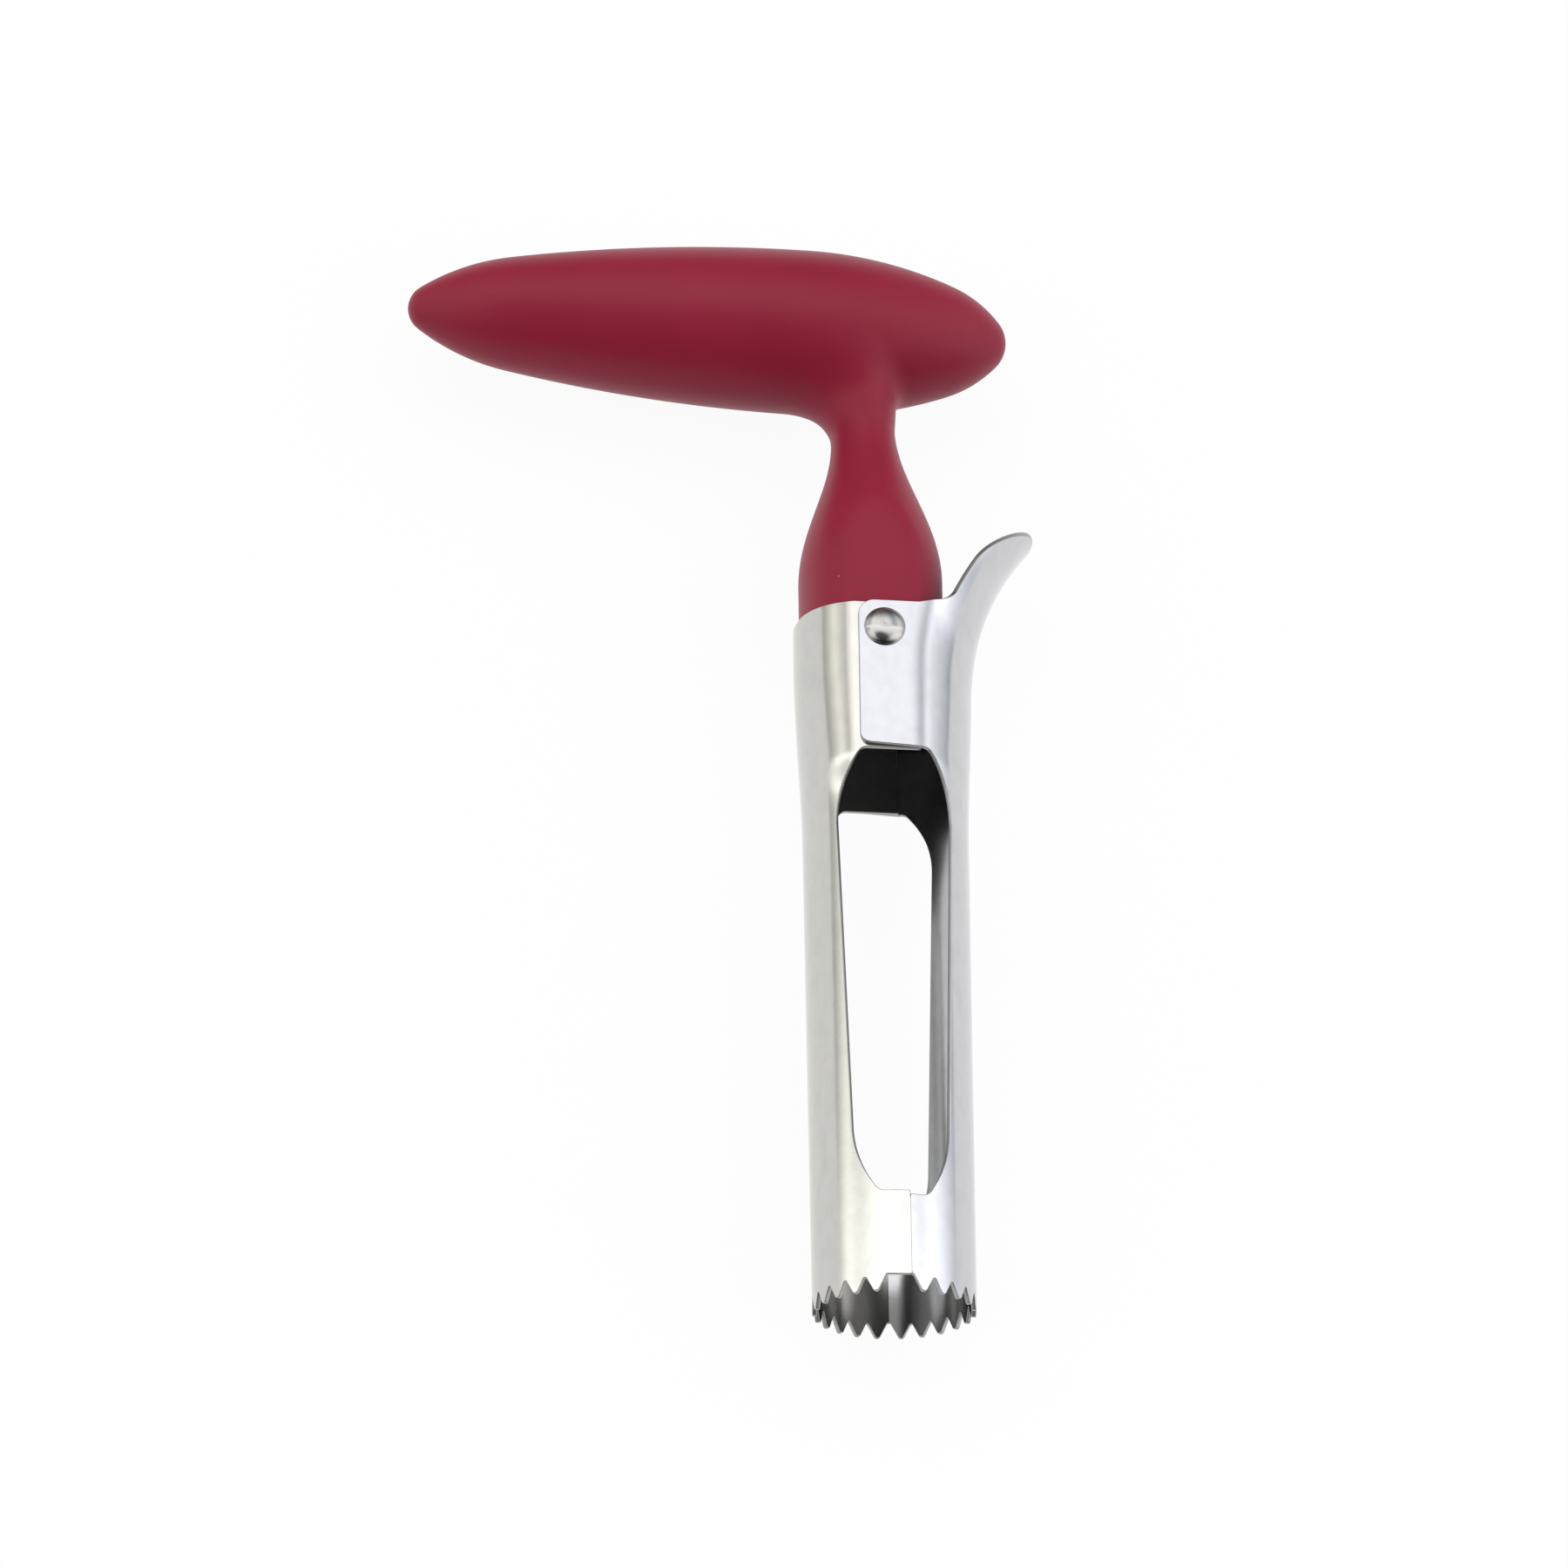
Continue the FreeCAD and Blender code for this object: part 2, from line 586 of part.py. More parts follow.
def flank_centre(tip, crown, tip_way, crown_way):
    """Centre of the flank's arc, at given distances from the centres of its neighbours."""
    across = tip - crown
    apart = across.Length
    along = (crown_way ** 2 - tip_way ** 2 + apart ** 2) / (2 * apart)
    aside = math.sqrt(crown_way ** 2 - along ** 2)
    unit = across / apart
    return crown + unit * along + FreeCAD.Vector(-unit.y, unit.x, 0) * aside


def make_crossbar_end(end):
    """One end of the crossbar: three tangent arcs turned about the bar's axis."""
    length = f"bar_{end}"
    radius = f"({end}_tip * bar_radius^2 / {length})"
    flank = f"({end}_flank * sqrt({length} * bar_radius))"
    crown = f"({end}_crown * {length}^2 / bar_radius)"
    centres = [
        FreeCAD.Vector(value_of(f"{length} - {radius}"), 0, 0),
        FreeCAD.Vector(0, value_of(f"bar_radius - {crown}"), 0),
    ]
    centres.insert(1, flank_centre(*centres, value_of(f"{flank} - {radius}"),
                                   value_of(f"{crown} - {flank}")))
    bends = [value_of(size) for size in (radius, flank, crown)]
    joints = [FreeCAD.Vector(value_of(length), 0, 0)]
    for inner, outer, bend in zip(centres, centres[1:], bends[1:]):
        joints.append(outer + (inner - outer).normalize() * bend)
    joints.append(FreeCAD.Vector(0, value_of("bar_radius"), 0))

    sketch = doc.addObject("Sketcher::SketchObject", f"{end}_end_profile")
    arcs = []
    for centre, bend, start, stop in zip(centres, bends, joints, joints[1:]):
        circle = Part.Circle(centre, FreeCAD.Vector(0, 0, 1), bend)
        turns = [math.atan2(point.y - centre.y, point.x - centre.x) for point in (start, stop)]
        arcs.append(sketch.addGeometry(Part.ArcOfCircle(circle, *turns)))
    root = sketch.addGeometry(Part.LineSegment(joints[-1], FreeCAD.Vector()))
    axis = sketch.addGeometry(Part.LineSegment(FreeCAD.Vector(), joints[0]))
    for first, second in zip(arcs, arcs[1:]):
        sketch.addConstraint(Sketcher.Constraint("Tangent", first, 2, second, 1))
    for first, second in ((arcs[-1], root), (root, axis), (axis, arcs[0])):
        sketch.addConstraint(Sketcher.Constraint("Coincident", first, 2, second, 1))
    place_point(sketch, axis, 1, "0", "0")
    place_point(sketch, axis, 2, length, "0")
    place_point(sketch, root, 1, "0", "bar_radius")
    place_point(sketch, arcs[0], 3, f"{length} - {radius}", "0")
    place_point(sketch, arcs[2], 3, "0", f"bar_radius - {crown}")
    fix(sketch, "Radius", arcs[1], flank)
    if end == "long":
        sketch.Placement.Rotation = FreeCAD.Rotation(FreeCAD.Vector(0, 1, 0), 180)
    return combine("Revolution", f"{end}_end", Source=sketch, Axis=FreeCAD.Vector(1, 0, 0),
                   Angle=360.0, Solid=True)


def make_cone(label, along, radius, top_radius, height, x, y):
    """A stretch of the hidden core, growing or shrinking along a direction."""
    cone = doc.addObject("Part::Cone", label)
    cone.Placement.Rotation = FreeCAD.Rotation(FreeCAD.Vector(0, 0, 1), along)
    bind(cone, Radius1=radius, Radius2=top_radius, Height=height,
         Placement__Base__x=x, Placement__Base__y=y)
    return cone


def make_crossbar(label, pieces):
    """Joins the pieces of a crossbar and sets it on its place, at its slope."""
    bar = combine("MultiFuse", label, Shapes=pieces, Refine=True)
    bar.Placement.Rotation = FreeCAD.Rotation(FreeCAD.Vector(0, 0, 1), -value_of("bar_slope"))
    bind(bar, Placement__Base__x="bar_crown_x", Placement__Base__y="bar_y",
         Placement__Rotation__Angle="-bar_slope")
    return bar


def make_slab(label, half_depth, low, high):
    """A block between the two flats, over a stretch of the stem."""
    slab = doc.addObject("Part::Box", label)
    bind(slab, Length=f"{2 * REACH}", Width=f"({high}) - ({low})", Height=f"2 * ({half_depth})",
         Placement__Base__x=f"{-REACH}", Placement__Base__y=low,
         Placement__Base__z=f"-({half_depth})")
    return slab


def combine(kind, label, **parts):
    made = doc.addObject("Part::" + kind, label)
    for name, value in parts.items():
        setattr(made, name, value)
    doc.recompute()
    return made


def make_outer_form():
    """Stem and crossbar together, as the soft skin shows them."""
    bar = make_crossbar("outer_bar", [make_crossbar_end("long"), make_crossbar_end("short")])
    round_stem = combine("Loft", "round_stem", Sections=stem_sections(), Solid=True)
    slab = make_slab("stem_slab", "fixed_flat - wall - plug_clearance", "skin_bottom", "bar_y")
    stem = combine("Common", "outer_stem", Base=round_stem, Tool=slab)
    return combine("MultiFuse", "outer_form", Shapes=[bar, stem], Refine=True)


def core_bar_cones(end, towards):
    """Cones along one end of the core's bar, inside the skin."""
    radius = "(bar_radius - skin) * sqrt(1 - {0}^2)"
    length = f"(bar_{end} - skin)"
    return [make_cone(f"{end}_core_cone", FreeCAD.Vector(towards, 0, 0), radius.format(start),
                      radius.format(stop), f"{length} * {stop - start}",
                      f"{towards} * {length} * {start}", "0")
            for start, stop in zip(CORE_SHARES, CORE_SHARES[1:])]


def core_stem_cones():
    """Cones up the core's stem, inside the skin."""
    rows = [("skin_bottom", f"{PLUG_HALF_WIDTH} - skin")]
    for step in range(CORE_STEPS + 1):
        share = step / CORE_STEPS
        rows.append((f"(flare_y + (neck_y - flare_y) * {share})",
                     blend(share, "flare_half_width", "neck_half_width") + " - skin"))
    rows.append(("bar_y", "neck_half_width - skin"))
    return [make_cone("core_stem_cone", FreeCAD.Vector(0, 1, 0), radius, top_radius,
                      f"{top} - {height}", "handle_x - neck_lean / 2", height)
            for (height, radius), (top, top_radius) in zip(rows, rows[1:])]


def make_core_form():
    """Stem and crossbar of the rigid core, plain because the skin hides them."""
    bar = make_crossbar("core_bar", core_bar_cones("long", -1) + core_bar_cones("short", 1))
    return combine("MultiFuse", "core_form", Shapes=[bar] + core_stem_cones(), Refine=True)


def junction_edges(form):
    """Edges where the stem runs into the crossbar."""
    low = value_of("bar_y - bar_radius")
    high = value_of("bar_y - bar_radius * 0.6")
    found = []
    for number, edge in enumerate(form.Shape.Edges, start=1):
        box = edge.BoundBox
        if low - 1 < box.YMin and box.YMax < high and box.ZLength > 1:
            found.append(number)
    return found


def make_handle():
    """Rigid core with the plug that holds the rivet, and the soft skin moulded over it."""
    core_form = make_core_form()
    plug = level_ellipse("plug_section", PLUG_BOTTOM, PLUG_HALF_WIDTH, "fixed_flat")
    column = doc.addObject("Part::Extrusion", "plug_column")
    column.Base = plug
    column.DirMode = "Custom"
    column.Dir = FreeCAD.Vector(0, 1, 0)
    column.Solid = True
    bind(column, LengthFwd=f"skin_bottom - ({PLUG_BOTTOM})")
    slab = make_slab("plug_slab", "fixed_flat - wall - plug_clearance", PLUG_BOTTOM, "skin_bottom")
    block = combine("Common", "plug_block", Base=column, Tool=slab)
    solid_core = combine("MultiFuse", "solid_core", Shapes=[core_form, block], Refine=True)
    bore = doc.addObject("Part::Cylinder", "rivet_bore")
    bind(bore, Radius="shank_radius + seat_clearance", Height="2 * fixed_flat",
         Placement__Base__x="pivot_x", Placement__Base__y="pivot_y", Placement__Base__z="-fixed_flat")
    core = combine("Cut", "handle_core", Base=solid_core, Tool=bore)
    outer_form = make_outer_form()
    rounded = doc.addObject("Part::Fillet", "outer_rounded")
    rounded.Base = outer_form
    radius = value_of("neck_blend")
    rounded.Edges = [(number, radius, radius) for number in junction_edges(outer_form)]
    doc.recompute()
    grip = combine("Cut", "grip_skin", Base=rounded, Tool=core_form)
    return [core, grip]


def export(parts):
    """Checks every object and writes each piece to its own file."""
    doc.recompute()
    for obj in doc.Objects:
        if "Invalid" in obj.State or "Error" in obj.State:
            raise RuntimeError(f"{obj.Label}: {obj.State}")
    for obj in parts:
        if obj.Shape.isNull() or not obj.Shape.isValid() or not obj.Shape.Solids:
            raise RuntimeError(f"{obj.Label}: no valid solid")
    os.makedirs("parts", exist_ok=True)
    for obj in parts:
        obj.Shape.exportStep(f"parts/{obj.Label}.step")
        print(f"{obj.Label}: {len(obj.Shape.Solids)} solid, {obj.Shape.Volume:.1f} mm3")


export([make_fixed_half(), make_lever_half()] + make_rivet() + make_handle())
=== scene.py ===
import math

import bmesh
import bpy
import numpy as np
from mathutils import Matrix, Vector
from mathutils.geometry import delaunay_2d_cdt
from mathutils.kdtree import KDTree


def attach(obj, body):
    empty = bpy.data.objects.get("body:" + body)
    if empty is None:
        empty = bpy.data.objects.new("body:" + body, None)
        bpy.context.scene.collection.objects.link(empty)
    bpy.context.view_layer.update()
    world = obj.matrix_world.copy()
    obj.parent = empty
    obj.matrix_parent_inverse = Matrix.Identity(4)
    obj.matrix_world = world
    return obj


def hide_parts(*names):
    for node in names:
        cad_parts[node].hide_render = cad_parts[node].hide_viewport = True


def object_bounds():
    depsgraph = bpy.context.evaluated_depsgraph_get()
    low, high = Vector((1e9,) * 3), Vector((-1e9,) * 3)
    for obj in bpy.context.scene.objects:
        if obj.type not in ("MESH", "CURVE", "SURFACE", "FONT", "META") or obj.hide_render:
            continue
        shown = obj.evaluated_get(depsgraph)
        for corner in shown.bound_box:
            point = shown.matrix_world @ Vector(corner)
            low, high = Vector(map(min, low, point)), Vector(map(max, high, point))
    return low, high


# The fruit pitter as it looks, in metres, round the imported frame. The origin is the centre of
# the toothed mouth, +Y runs up the tube, +X points to the thumb lever and +Z is the front.
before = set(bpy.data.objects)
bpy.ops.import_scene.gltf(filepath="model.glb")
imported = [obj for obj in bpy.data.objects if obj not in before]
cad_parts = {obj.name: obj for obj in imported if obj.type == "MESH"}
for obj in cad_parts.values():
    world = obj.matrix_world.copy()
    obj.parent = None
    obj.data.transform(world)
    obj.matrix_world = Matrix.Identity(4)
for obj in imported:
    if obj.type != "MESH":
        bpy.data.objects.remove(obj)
CAD_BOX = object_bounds()
MM = 0.001

# Sizes of the tube, in millimetres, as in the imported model
MOUTH_RADIUS = 13.0
TUBE_TAPER = 0.0095     # growth of the radius for each millimetre up
WALL = 0.8
SEAM_X = 0.95
SEAM_LINE = 0.015       # half of the fine line that shows where the halves meet
ROUND_END = 80.0        # height where the round tube starts to turn into the flat-sided shoulder
SHOULDER_END = 92.6
SHELL_RADIUS = 15.0
WIDEST = 116.0          # height where the shoulder reaches this half width
SHELL_TOP = 119.3
SIDE_RISE = 1.0         # how far the fixed half's upper edge rises at the side

# Teeth
TOOTH_HEIGHT = 2.6
TEETH = 11
LAND_ANGLE = math.radians(17.5)
SEAM_LAND = math.radians(1.1)
NOTCH_ROUND = 0.3
TIP_FLAT = 0.7
TIP_ROUND = 0.5

# Windows
WINDOW_BOTTOM = 16.3
WINDOW_DROP = 0.6       # how much lower the lever half's window starts
FOOT_RISE = 0.6         # how far the lever ear's foot rises towards its free edge
WINDOW_LOW_HALF = 7.7
WINDOW_HIGH_HALF = 9.8
WINDOW_BASE_HALF = 3.9
WINDOW_HEAD_HALF = 5.6
WINDOW_BASE_CURVE = 5.7
WINDOW_HEAD_CURVE = 6.1
WINDOW_CORNER = 1.7
WINDOW_FLANK = 19.0     # radius between the flanks and the slanted ends

# Ears, rivet and thumb lever
EAR_GAP = 0.06
FIXED_FLAT = 13.4
FIXED_FLAT_EDGE = 6.4
FIXED_EAR_REACH = 4.2
FIXED_EAR_ROUND = 4.5
LEVER_FLAT = FIXED_FLAT + EAR_GAP + WALL
LEVER_FLAT_EDGE = 4.35
LEVER_EAR_REACH = 5.9
EAR_UPPER_ROUND = 2.8
EAR_LOWER_ROUND = 1.7
PIVOT = (-1.54, 114.3)
HOLE_RADIUS = 2.0
HEAD_FOOT = LEVER_FLAT + EAR_GAP
HEAD_SUNK = 0.3         # how far the rivet's head goes on into its hole
HEAD_RADIUS = 3.45
HEAD_HEIGHT = 1.5
DIMPLE = 0.08
DIMPLE_REACH = 0.45
FLARE_START = 107.0
FLARE_BEND = 48.0       # radius of the lever's bend away from the handle
FLARE_PAST = 1.0        # how far the bend goes on past the lever's tip
LEVER_TIP = 137.9
LEVER_ROOT_HALF = 12.6
LEVER_END_HALF = 10.7
LEVER_ROOT_ROUND = 4.0
LEVER_TIP_ROUND = 9.6
LEVER_ROOT_SPARE = 0.2  # how far the lever's root keeps clear of the flat's plane
TAB_RIM_LEAN = 0.34     # how far the tab's inner edge stands past its outer one
TAB_RIM_RISE = 3.0      # height over which this lean comes in

# Handle
HANDLE_X = -1.8
SKIN_BOTTOM = 118.0
PLUG_HALF_WIDTH = 12.15
STEM_FLAT = 12.5
STEM_FLAT_ROUND = 0.9   # softness of the edge round the stem's flat front
SKIN_FOOT = 2.3         # height of the skin's straight foot
FLARE_Y = 129.0
FLARE_HALF_WIDTH = 12.2
FLARE_HALF_DEPTH = 14.3
NECK_Y = 158.3
NECK_HALF_WIDTH = 5.5
NECK_HALF_DEPTH = 7.2
NECK_LEAN = 0.85        # how far the neck's centre lies left of the plug's
NECK_WIDENING = (0.12, -0.01)   # above the neck, with the height and with its square
NECK_DEEPENING = 0.15
LEAN_ABOVE_NECK = 0.3
FILLET_SHORT = 2.6      # between neck and crossbar, under the short end
FILLET_LONG = 8.0       # the same under the long end
BAR_CROWN = (-12.7, 178.13)
BAR_RADIUS = 14.3
BAR_SLOPE = math.radians(0.68)
LONG_END = {"length": 68.9, "tip": 1.45, "flank": 1.25, "crown": 0.9}
SHORT_END = {"length": 35.6, "tip": 1.0, "flank": 0.95, "crown": 0.825}
GATE_MARK = (-8.7, 124.6, 11.6)
TIP_MARK = (-81.6, 178.95, 0.0)

# Mesh
CUT_ROUND = 0.14        # rounding of the sheet's cut edges
SEAM_ROUND = 0.025      # the same along the fine seam
SEAM_SPARE = 0.4        # room that tells the seam's points from those of the teeth and the window
SHEET_STEP = 0.9        # spacing of the sheets' mesh
SHEET_START = 0.5       # height of its first row
EDGE_CLEARANCE = 0.38   # room between that mesh and the edges
EDGE_STEP = 0.5         # spacing along the edges, and on their arcs and teeth
ARC_STEP = 0.22
TOOTH_STEP = 0.12
LEAST_STEP = 0.06
BEND_REACH = 2.2        # how far round the section the pressed bends are softened
RISE_REACH = 0.8        # the same up the tube
HEAD_STEPS = 32         # rings and sides of the rivet's heads
HEAD_SIDES = 64
POLE_RADIUS = 0.02
BAR_RINGS = 40          # rings and sides of the grip's rough start, and the stem's spacing
GRIP_SIDES = 32
STEM_STEP = 2.0
STEM_SPARE = 6.0        # how far the rough stem starts below the skin
GRIP_VOXEL = 0.7
GRIP_ROUNDS = [(10, 0.8), (3, 0.4), (3, 0.4)]   # rounds of settling, and the most that each moves
SLOPE_STEP = 0.05

# Colours and finishes, most colours with the one that they vary to
FIXED_TONES = ((0.585, 0.58, 0.55), (0.61, 0.605, 0.58))
LEVER_TONES = ((0.6, 0.6, 0.618), (0.63, 0.63, 0.65))
RIVET_TONE = (0.43, 0.423, 0.41)
GRIP_TONES = ((0.265, 0.0095, 0.033), (0.292, 0.0125, 0.039))
GATE_TONE = (0.6, 0.25, 0.3)
BLOOM_TONE = (1.0, 0.75, 0.8)
CORE_TONES = ((0.05, 0.046, 0.06), (0.065, 0.06, 0.078))
FLOOR_TONES = ((0.975, 0.973, 0.965), (0.99, 0.989, 0.985))
BLACK = (0.0, 0.0, 0.0)
WHITE = (1.0, 1.0, 1.0)
DULL_HEIGHT = (62, 90)  # heights between which the inside of the tube turns duller
FLOOR_GLOW = 0.94       # how far the floor shows as plain white to the camera and in gloss
FLOOR_HALF = 3.0        # half of its width, in metres

# Studio light by degrees round the tube's axis from the front, at three heights up the axis
WORLD_STRENGTH = 2.1
UNDER_LIGHT = [
    (-180, (0.4, 0.4, 0.38)),
    (-88, (0.45, 0.45, 0.43)),
    (-74, (0.9, 0.89, 0.87)),
    (-38, (0.9, 0.89, 0.87)),
    (-22, (0.55, 0.55, 0.55)),
    (22, (0.55, 0.55, 0.56)),
    (36, (1.0, 1.0, 1.0)),
    (80, (1.0, 1.0, 1.0)),
    (92, (0.6, 0.61, 0.63)),
    (180, (0.45, 0.46, 0.48)),
]
LOW_LIGHT = [
    (-180, (0.45, 0.45, 0.43)),
    (-94, (0.5, 0.5, 0.48)),
    (-87, (0.62, 0.62, 0.6)),
    (-78, (0.95, 0.94, 0.92)),
    (-40, (0.97, 0.97, 0.95)),
    (40, (0.95, 0.96, 0.98)),
    (52, (0.95, 0.96, 0.98)),
    (62, (0.85, 0.86, 0.89)),
    (72, (0.67, 0.68, 0.72)),
    (82, (0.52, 0.53, 0.56)),
    (92, (0.46, 0.47, 0.5)),
    (180, (0.45, 0.46, 0.5)),
]
HIGH_LIGHT = [
    (-180, (0.45, 0.45, 0.43)),
    (-95, (0.1, 0.1, 0.095)),
    (-86, (0.3, 0.3, 0.285)),
    (-79, (0.46, 0.46, 0.43)),
    (-71, (0.65, 0.65, 0.6)),
    (-65, (0.53, 0.53, 0.49)),
    (-58, (0.42, 0.41, 0.39)),
    (-50, (0.4, 0.39, 0.38)),
    (-40, (0.64, 0.64, 0.61)),
    (-28, (0.84, 0.84, 0.82)),
    (-12, (0.78, 0.78, 0.78)),
    (8, (0.7, 0.705, 0.725)),
    (15, (0.68, 0.69, 0.71)),
    (22, (0.52, 0.53, 0.55)),
    (29, (0.36, 0.37, 0.39)),
    (34, (0.38, 0.39, 0.41)),
    (42, (0.6, 0.61, 0.64)),
    (49, (0.68, 0.69, 0.71)),
    (57, (0.58, 0.59, 0.61)),
    (67, (0.49, 0.5, 0.52)),
    (75, (0.42, 0.43, 0.45)),
    (83, (0.34, 0.35, 0.37)),
    (95, (0.12, 0.125, 0.13)),
    (180, (0.45, 0.46, 0.5)),
]
# Degrees up the tube's axis between which one of these gives way to the next
UNDER_CHANGE = (-8, 4)
HIGH_CHANGE = (17.2, 19.6)
# Degrees up and round between which the light's low left is dimmed, and how much
LOW_LEFT_UP = (15.5, 11.0)
LOW_LEFT_ROUND = (-46, -56)
LOW_LEFT_DEPTH = 0.42
# Degrees up the tube's axis, and the share of the light there
UP_LIGHT = [
    (-90, 0.02),
    (-52, 0.03),
    (-40, 0.3),
    (-25, 0.75),
    (-8, 0.85),
    (6, 0.8),
    (16, 1.0),
    (32, 1.0),
    (42, 0.75),
    (51, 0.38),
    (62, 0.14),
    (90, 0.1),
]
# Dim place where the photographer stands: its direction, and cosines of its edge
DIM_WAY = (-0.11, -0.42, 0.90)
DIM_EDGE = (0.87, 0.96)
DIM_DEPTH = 0.85

# Camera, fitted to the photograph
CAMERA_LENS = 100.0
SENSOR_WIDTH = 36.0
CAMERA_PLACE = (-97.23, -210.73, 651.90)
CAMERA_RIGHT = (0.99288361, -0.00776996, 0.11883507)
CAMERA_UP = (-0.04264816, 0.90848661, 0.41573214)
CAMERA_BACK = (-0.11119029, -0.41784173, 0.90169009)


# Half tubes

def ease(share, start, end):
    """From start to end as share goes from 0 to 1, level at both."""
    return start + (end - start) * (1 - np.cos(np.pi * np.clip(share, 0, 1))) / 2


def section(side, y):
    """Half width of a half's outer section at a height, the edge of its flat and its depth."""
    flat_edge = FIXED_FLAT_EDGE if side < 0 else LEVER_FLAT_EDGE
    flat_depth = FIXED_FLAT if side < 0 else LEVER_FLAT
    widening = (y - ROUND_END) / (WIDEST - ROUND_END)
    width = ease(widening, MOUTH_RADIUS + TUBE_TAPER * y, SHELL_RADIUS)
    shoulder = (y - ROUND_END) / (SHOULDER_END - ROUND_END)
    edge = ease(shoulder, 0.0, flat_edge)
    depth = ease(shoulder, width, flat_depth)
    if side > 0:
        rise = np.clip(y - FLARE_START, 0, LEVER_TIP + FLARE_PAST - FLARE_START)
        flare = FLARE_BEND - np.sqrt(FLARE_BEND ** 2 - rise ** 2)
        width = width + flare
        edge = edge + flare
    return width, edge, depth


def section_arc(side, y):
    """The section's round stretch: its edge, depth, radius, centre and half angle."""
    width, edge, depth = section(side, y)
    radius = ((width - edge) ** 2 + depth ** 2) / (2 * (width - edge))
    centre = width - radius
    return edge, depth, radius, centre, np.arctan2(depth, edge - centre)


def surface(side, s, y):
    """Point on the outer surface, from the distance round it and the height."""
    edge, depth, radius, centre, half = section_arc(side, y)
    turn = np.clip(s / radius, -half, half)
    beyond = np.maximum(np.abs(s) - radius * half, 0)
    x = np.where(beyond > 0, edge - beyond, centre + radius * np.cos(turn))
    z = np.where(beyond > 0, np.sign(s) * depth, radius * np.sin(turn))
    return np.stack([side * x, y, z], -1)


def surface_normal(side, s, y):
    """Outward direction there, softened across the pressed bends."""
    round_way = surface(side, s + BEND_REACH, y) - surface(side, s - BEND_REACH, y)
    up_way = surface(side, s, y + RISE_REACH) - surface(side, s, y - RISE_REACH)
    out = np.cross(round_way, up_way) * -side
    return out / np.linalg.norm(out, axis=-1, keepdims=True)


def round_at_x(side, x, y, face):
    """Distance round the section of the point at x, on the front (1) or the back (-1)."""
    edge, _, radius, centre, half = section_arc(side, y)
    local = side * x
    if local < edge:
        return face * (radius * half + edge - local)
    return face * radius * math.acos(min(1.0, (local - centre) / radius))


def round_at_z(side, z, y):
    """Distance round the section of the point at z, on the side."""
    radius = section_arc(side, y)[2]
    return radius * math.asin(z / radius)


def rounded(corners, step):
    """Open path through corners, each x, y and perhaps a radius, with its arcs divided up."""
    points = [np.array(corner[:2], float) for corner in corners]
    path = []
    for i, corner in enumerate(corners):
        if len(corner) < 3:
            path.append(points[i])
            continue
        radius = corner[2]
        before = points[i - 1] - points[i]
        after = points[i + 1] - points[i]
        before /= np.linalg.norm(before)
        after /= np.linalg.norm(after)
        half = math.acos(before @ after) / 2
        middle = before + after
        middle /= np.linalg.norm(middle)
        hub = points[i] + middle * radius / math.sin(half)
        start = points[i] + before * radius / math.tan(half) - hub
        end = points[i] + after * radius / math.tan(half) - hub
        turn = math.atan2(start[0] * end[1] - start[1] * end[0], start @ end)
        count = max(3, math.ceil(abs(turn) * radius / step))
        for k in range(count + 1):
            c = math.cos(turn * k / count)
            s = math.sin(turn * k / count)
            path.append(hub + np.array([start[0] * c - start[1] * s, start[0] * s + start[1] * c]))
    return path


def divided(path, step):
    """The same path with its long stretches divided up."""
    out = [path[0]]
    for a, b in zip(path, path[1:]):
        count = max(1, math.ceil(np.linalg.norm(b - a) / step))
        out += [a + (b - a) * k / count for k in range(1, count + 1)]
    return out


def window_corners(side, bottom, top):
    """Window outline on one half, from the lower edge to the upper one."""
    return [
        (side * WINDOW_BASE_HALF, bottom, WINDOW_CORNER),
        (side * WINDOW_LOW_HALF, WINDOW_BOTTOM + WINDOW_BASE_CURVE, WINDOW_FLANK),
        (side * WINDOW_HIGH_HALF, SHOULDER_END - WINDOW_HEAD_CURVE, WINDOW_FLANK),
        (side * WINDOW_HEAD_HALF, top, WINDOW_CORNER),
    ]


def tooth_row(first, last, first_notch, pitch):
    """Toothed edge, in distance round the mouth and height, from one seam to the other."""
    half = (pitch - TIP_FLAT) / 2
    corners = [(first, TOOTH_HEIGHT)]
    for k in range(TEETH + 1):
        centre = first_notch - pitch * k
        corners.append((centre, TOOTH_HEIGHT, NOTCH_ROUND))
        if k < TEETH:
            corners.append((centre - half, 0.0, TIP_ROUND))
            corners.append((centre - pitch + half, 0.0, TIP_ROUND))
    corners.append((last, TOOTH_HEIGHT))
    return rounded(corners, TOOTH_STEP)


def half_outline(side, path, crown, first_notch, pitch):
    """Closed outline of a half, in distance round the sheet and height.

    path is its front edge, seen from the front, from the seam's foot up. crown is the
    upper edge over the side, already in distance round the sheet.
    """
    path = divided(path, EDGE_STEP)
    front = [np.array([round_at_x(side, x, y, 1), y]) for x, y in path]
    back = [np.array([round_at_x(side, x, y, -1), y]) for x, y in path]
    row = tooth_row(front[0][0], back[0][0], first_notch, pitch)
    return front + crown + back[::-1] + row[::-1]


def seam_angle():
    """Turn of the seam round the mouth, away from the middle."""
    return math.asin(SEAM_X / MOUTH_RADIUS)


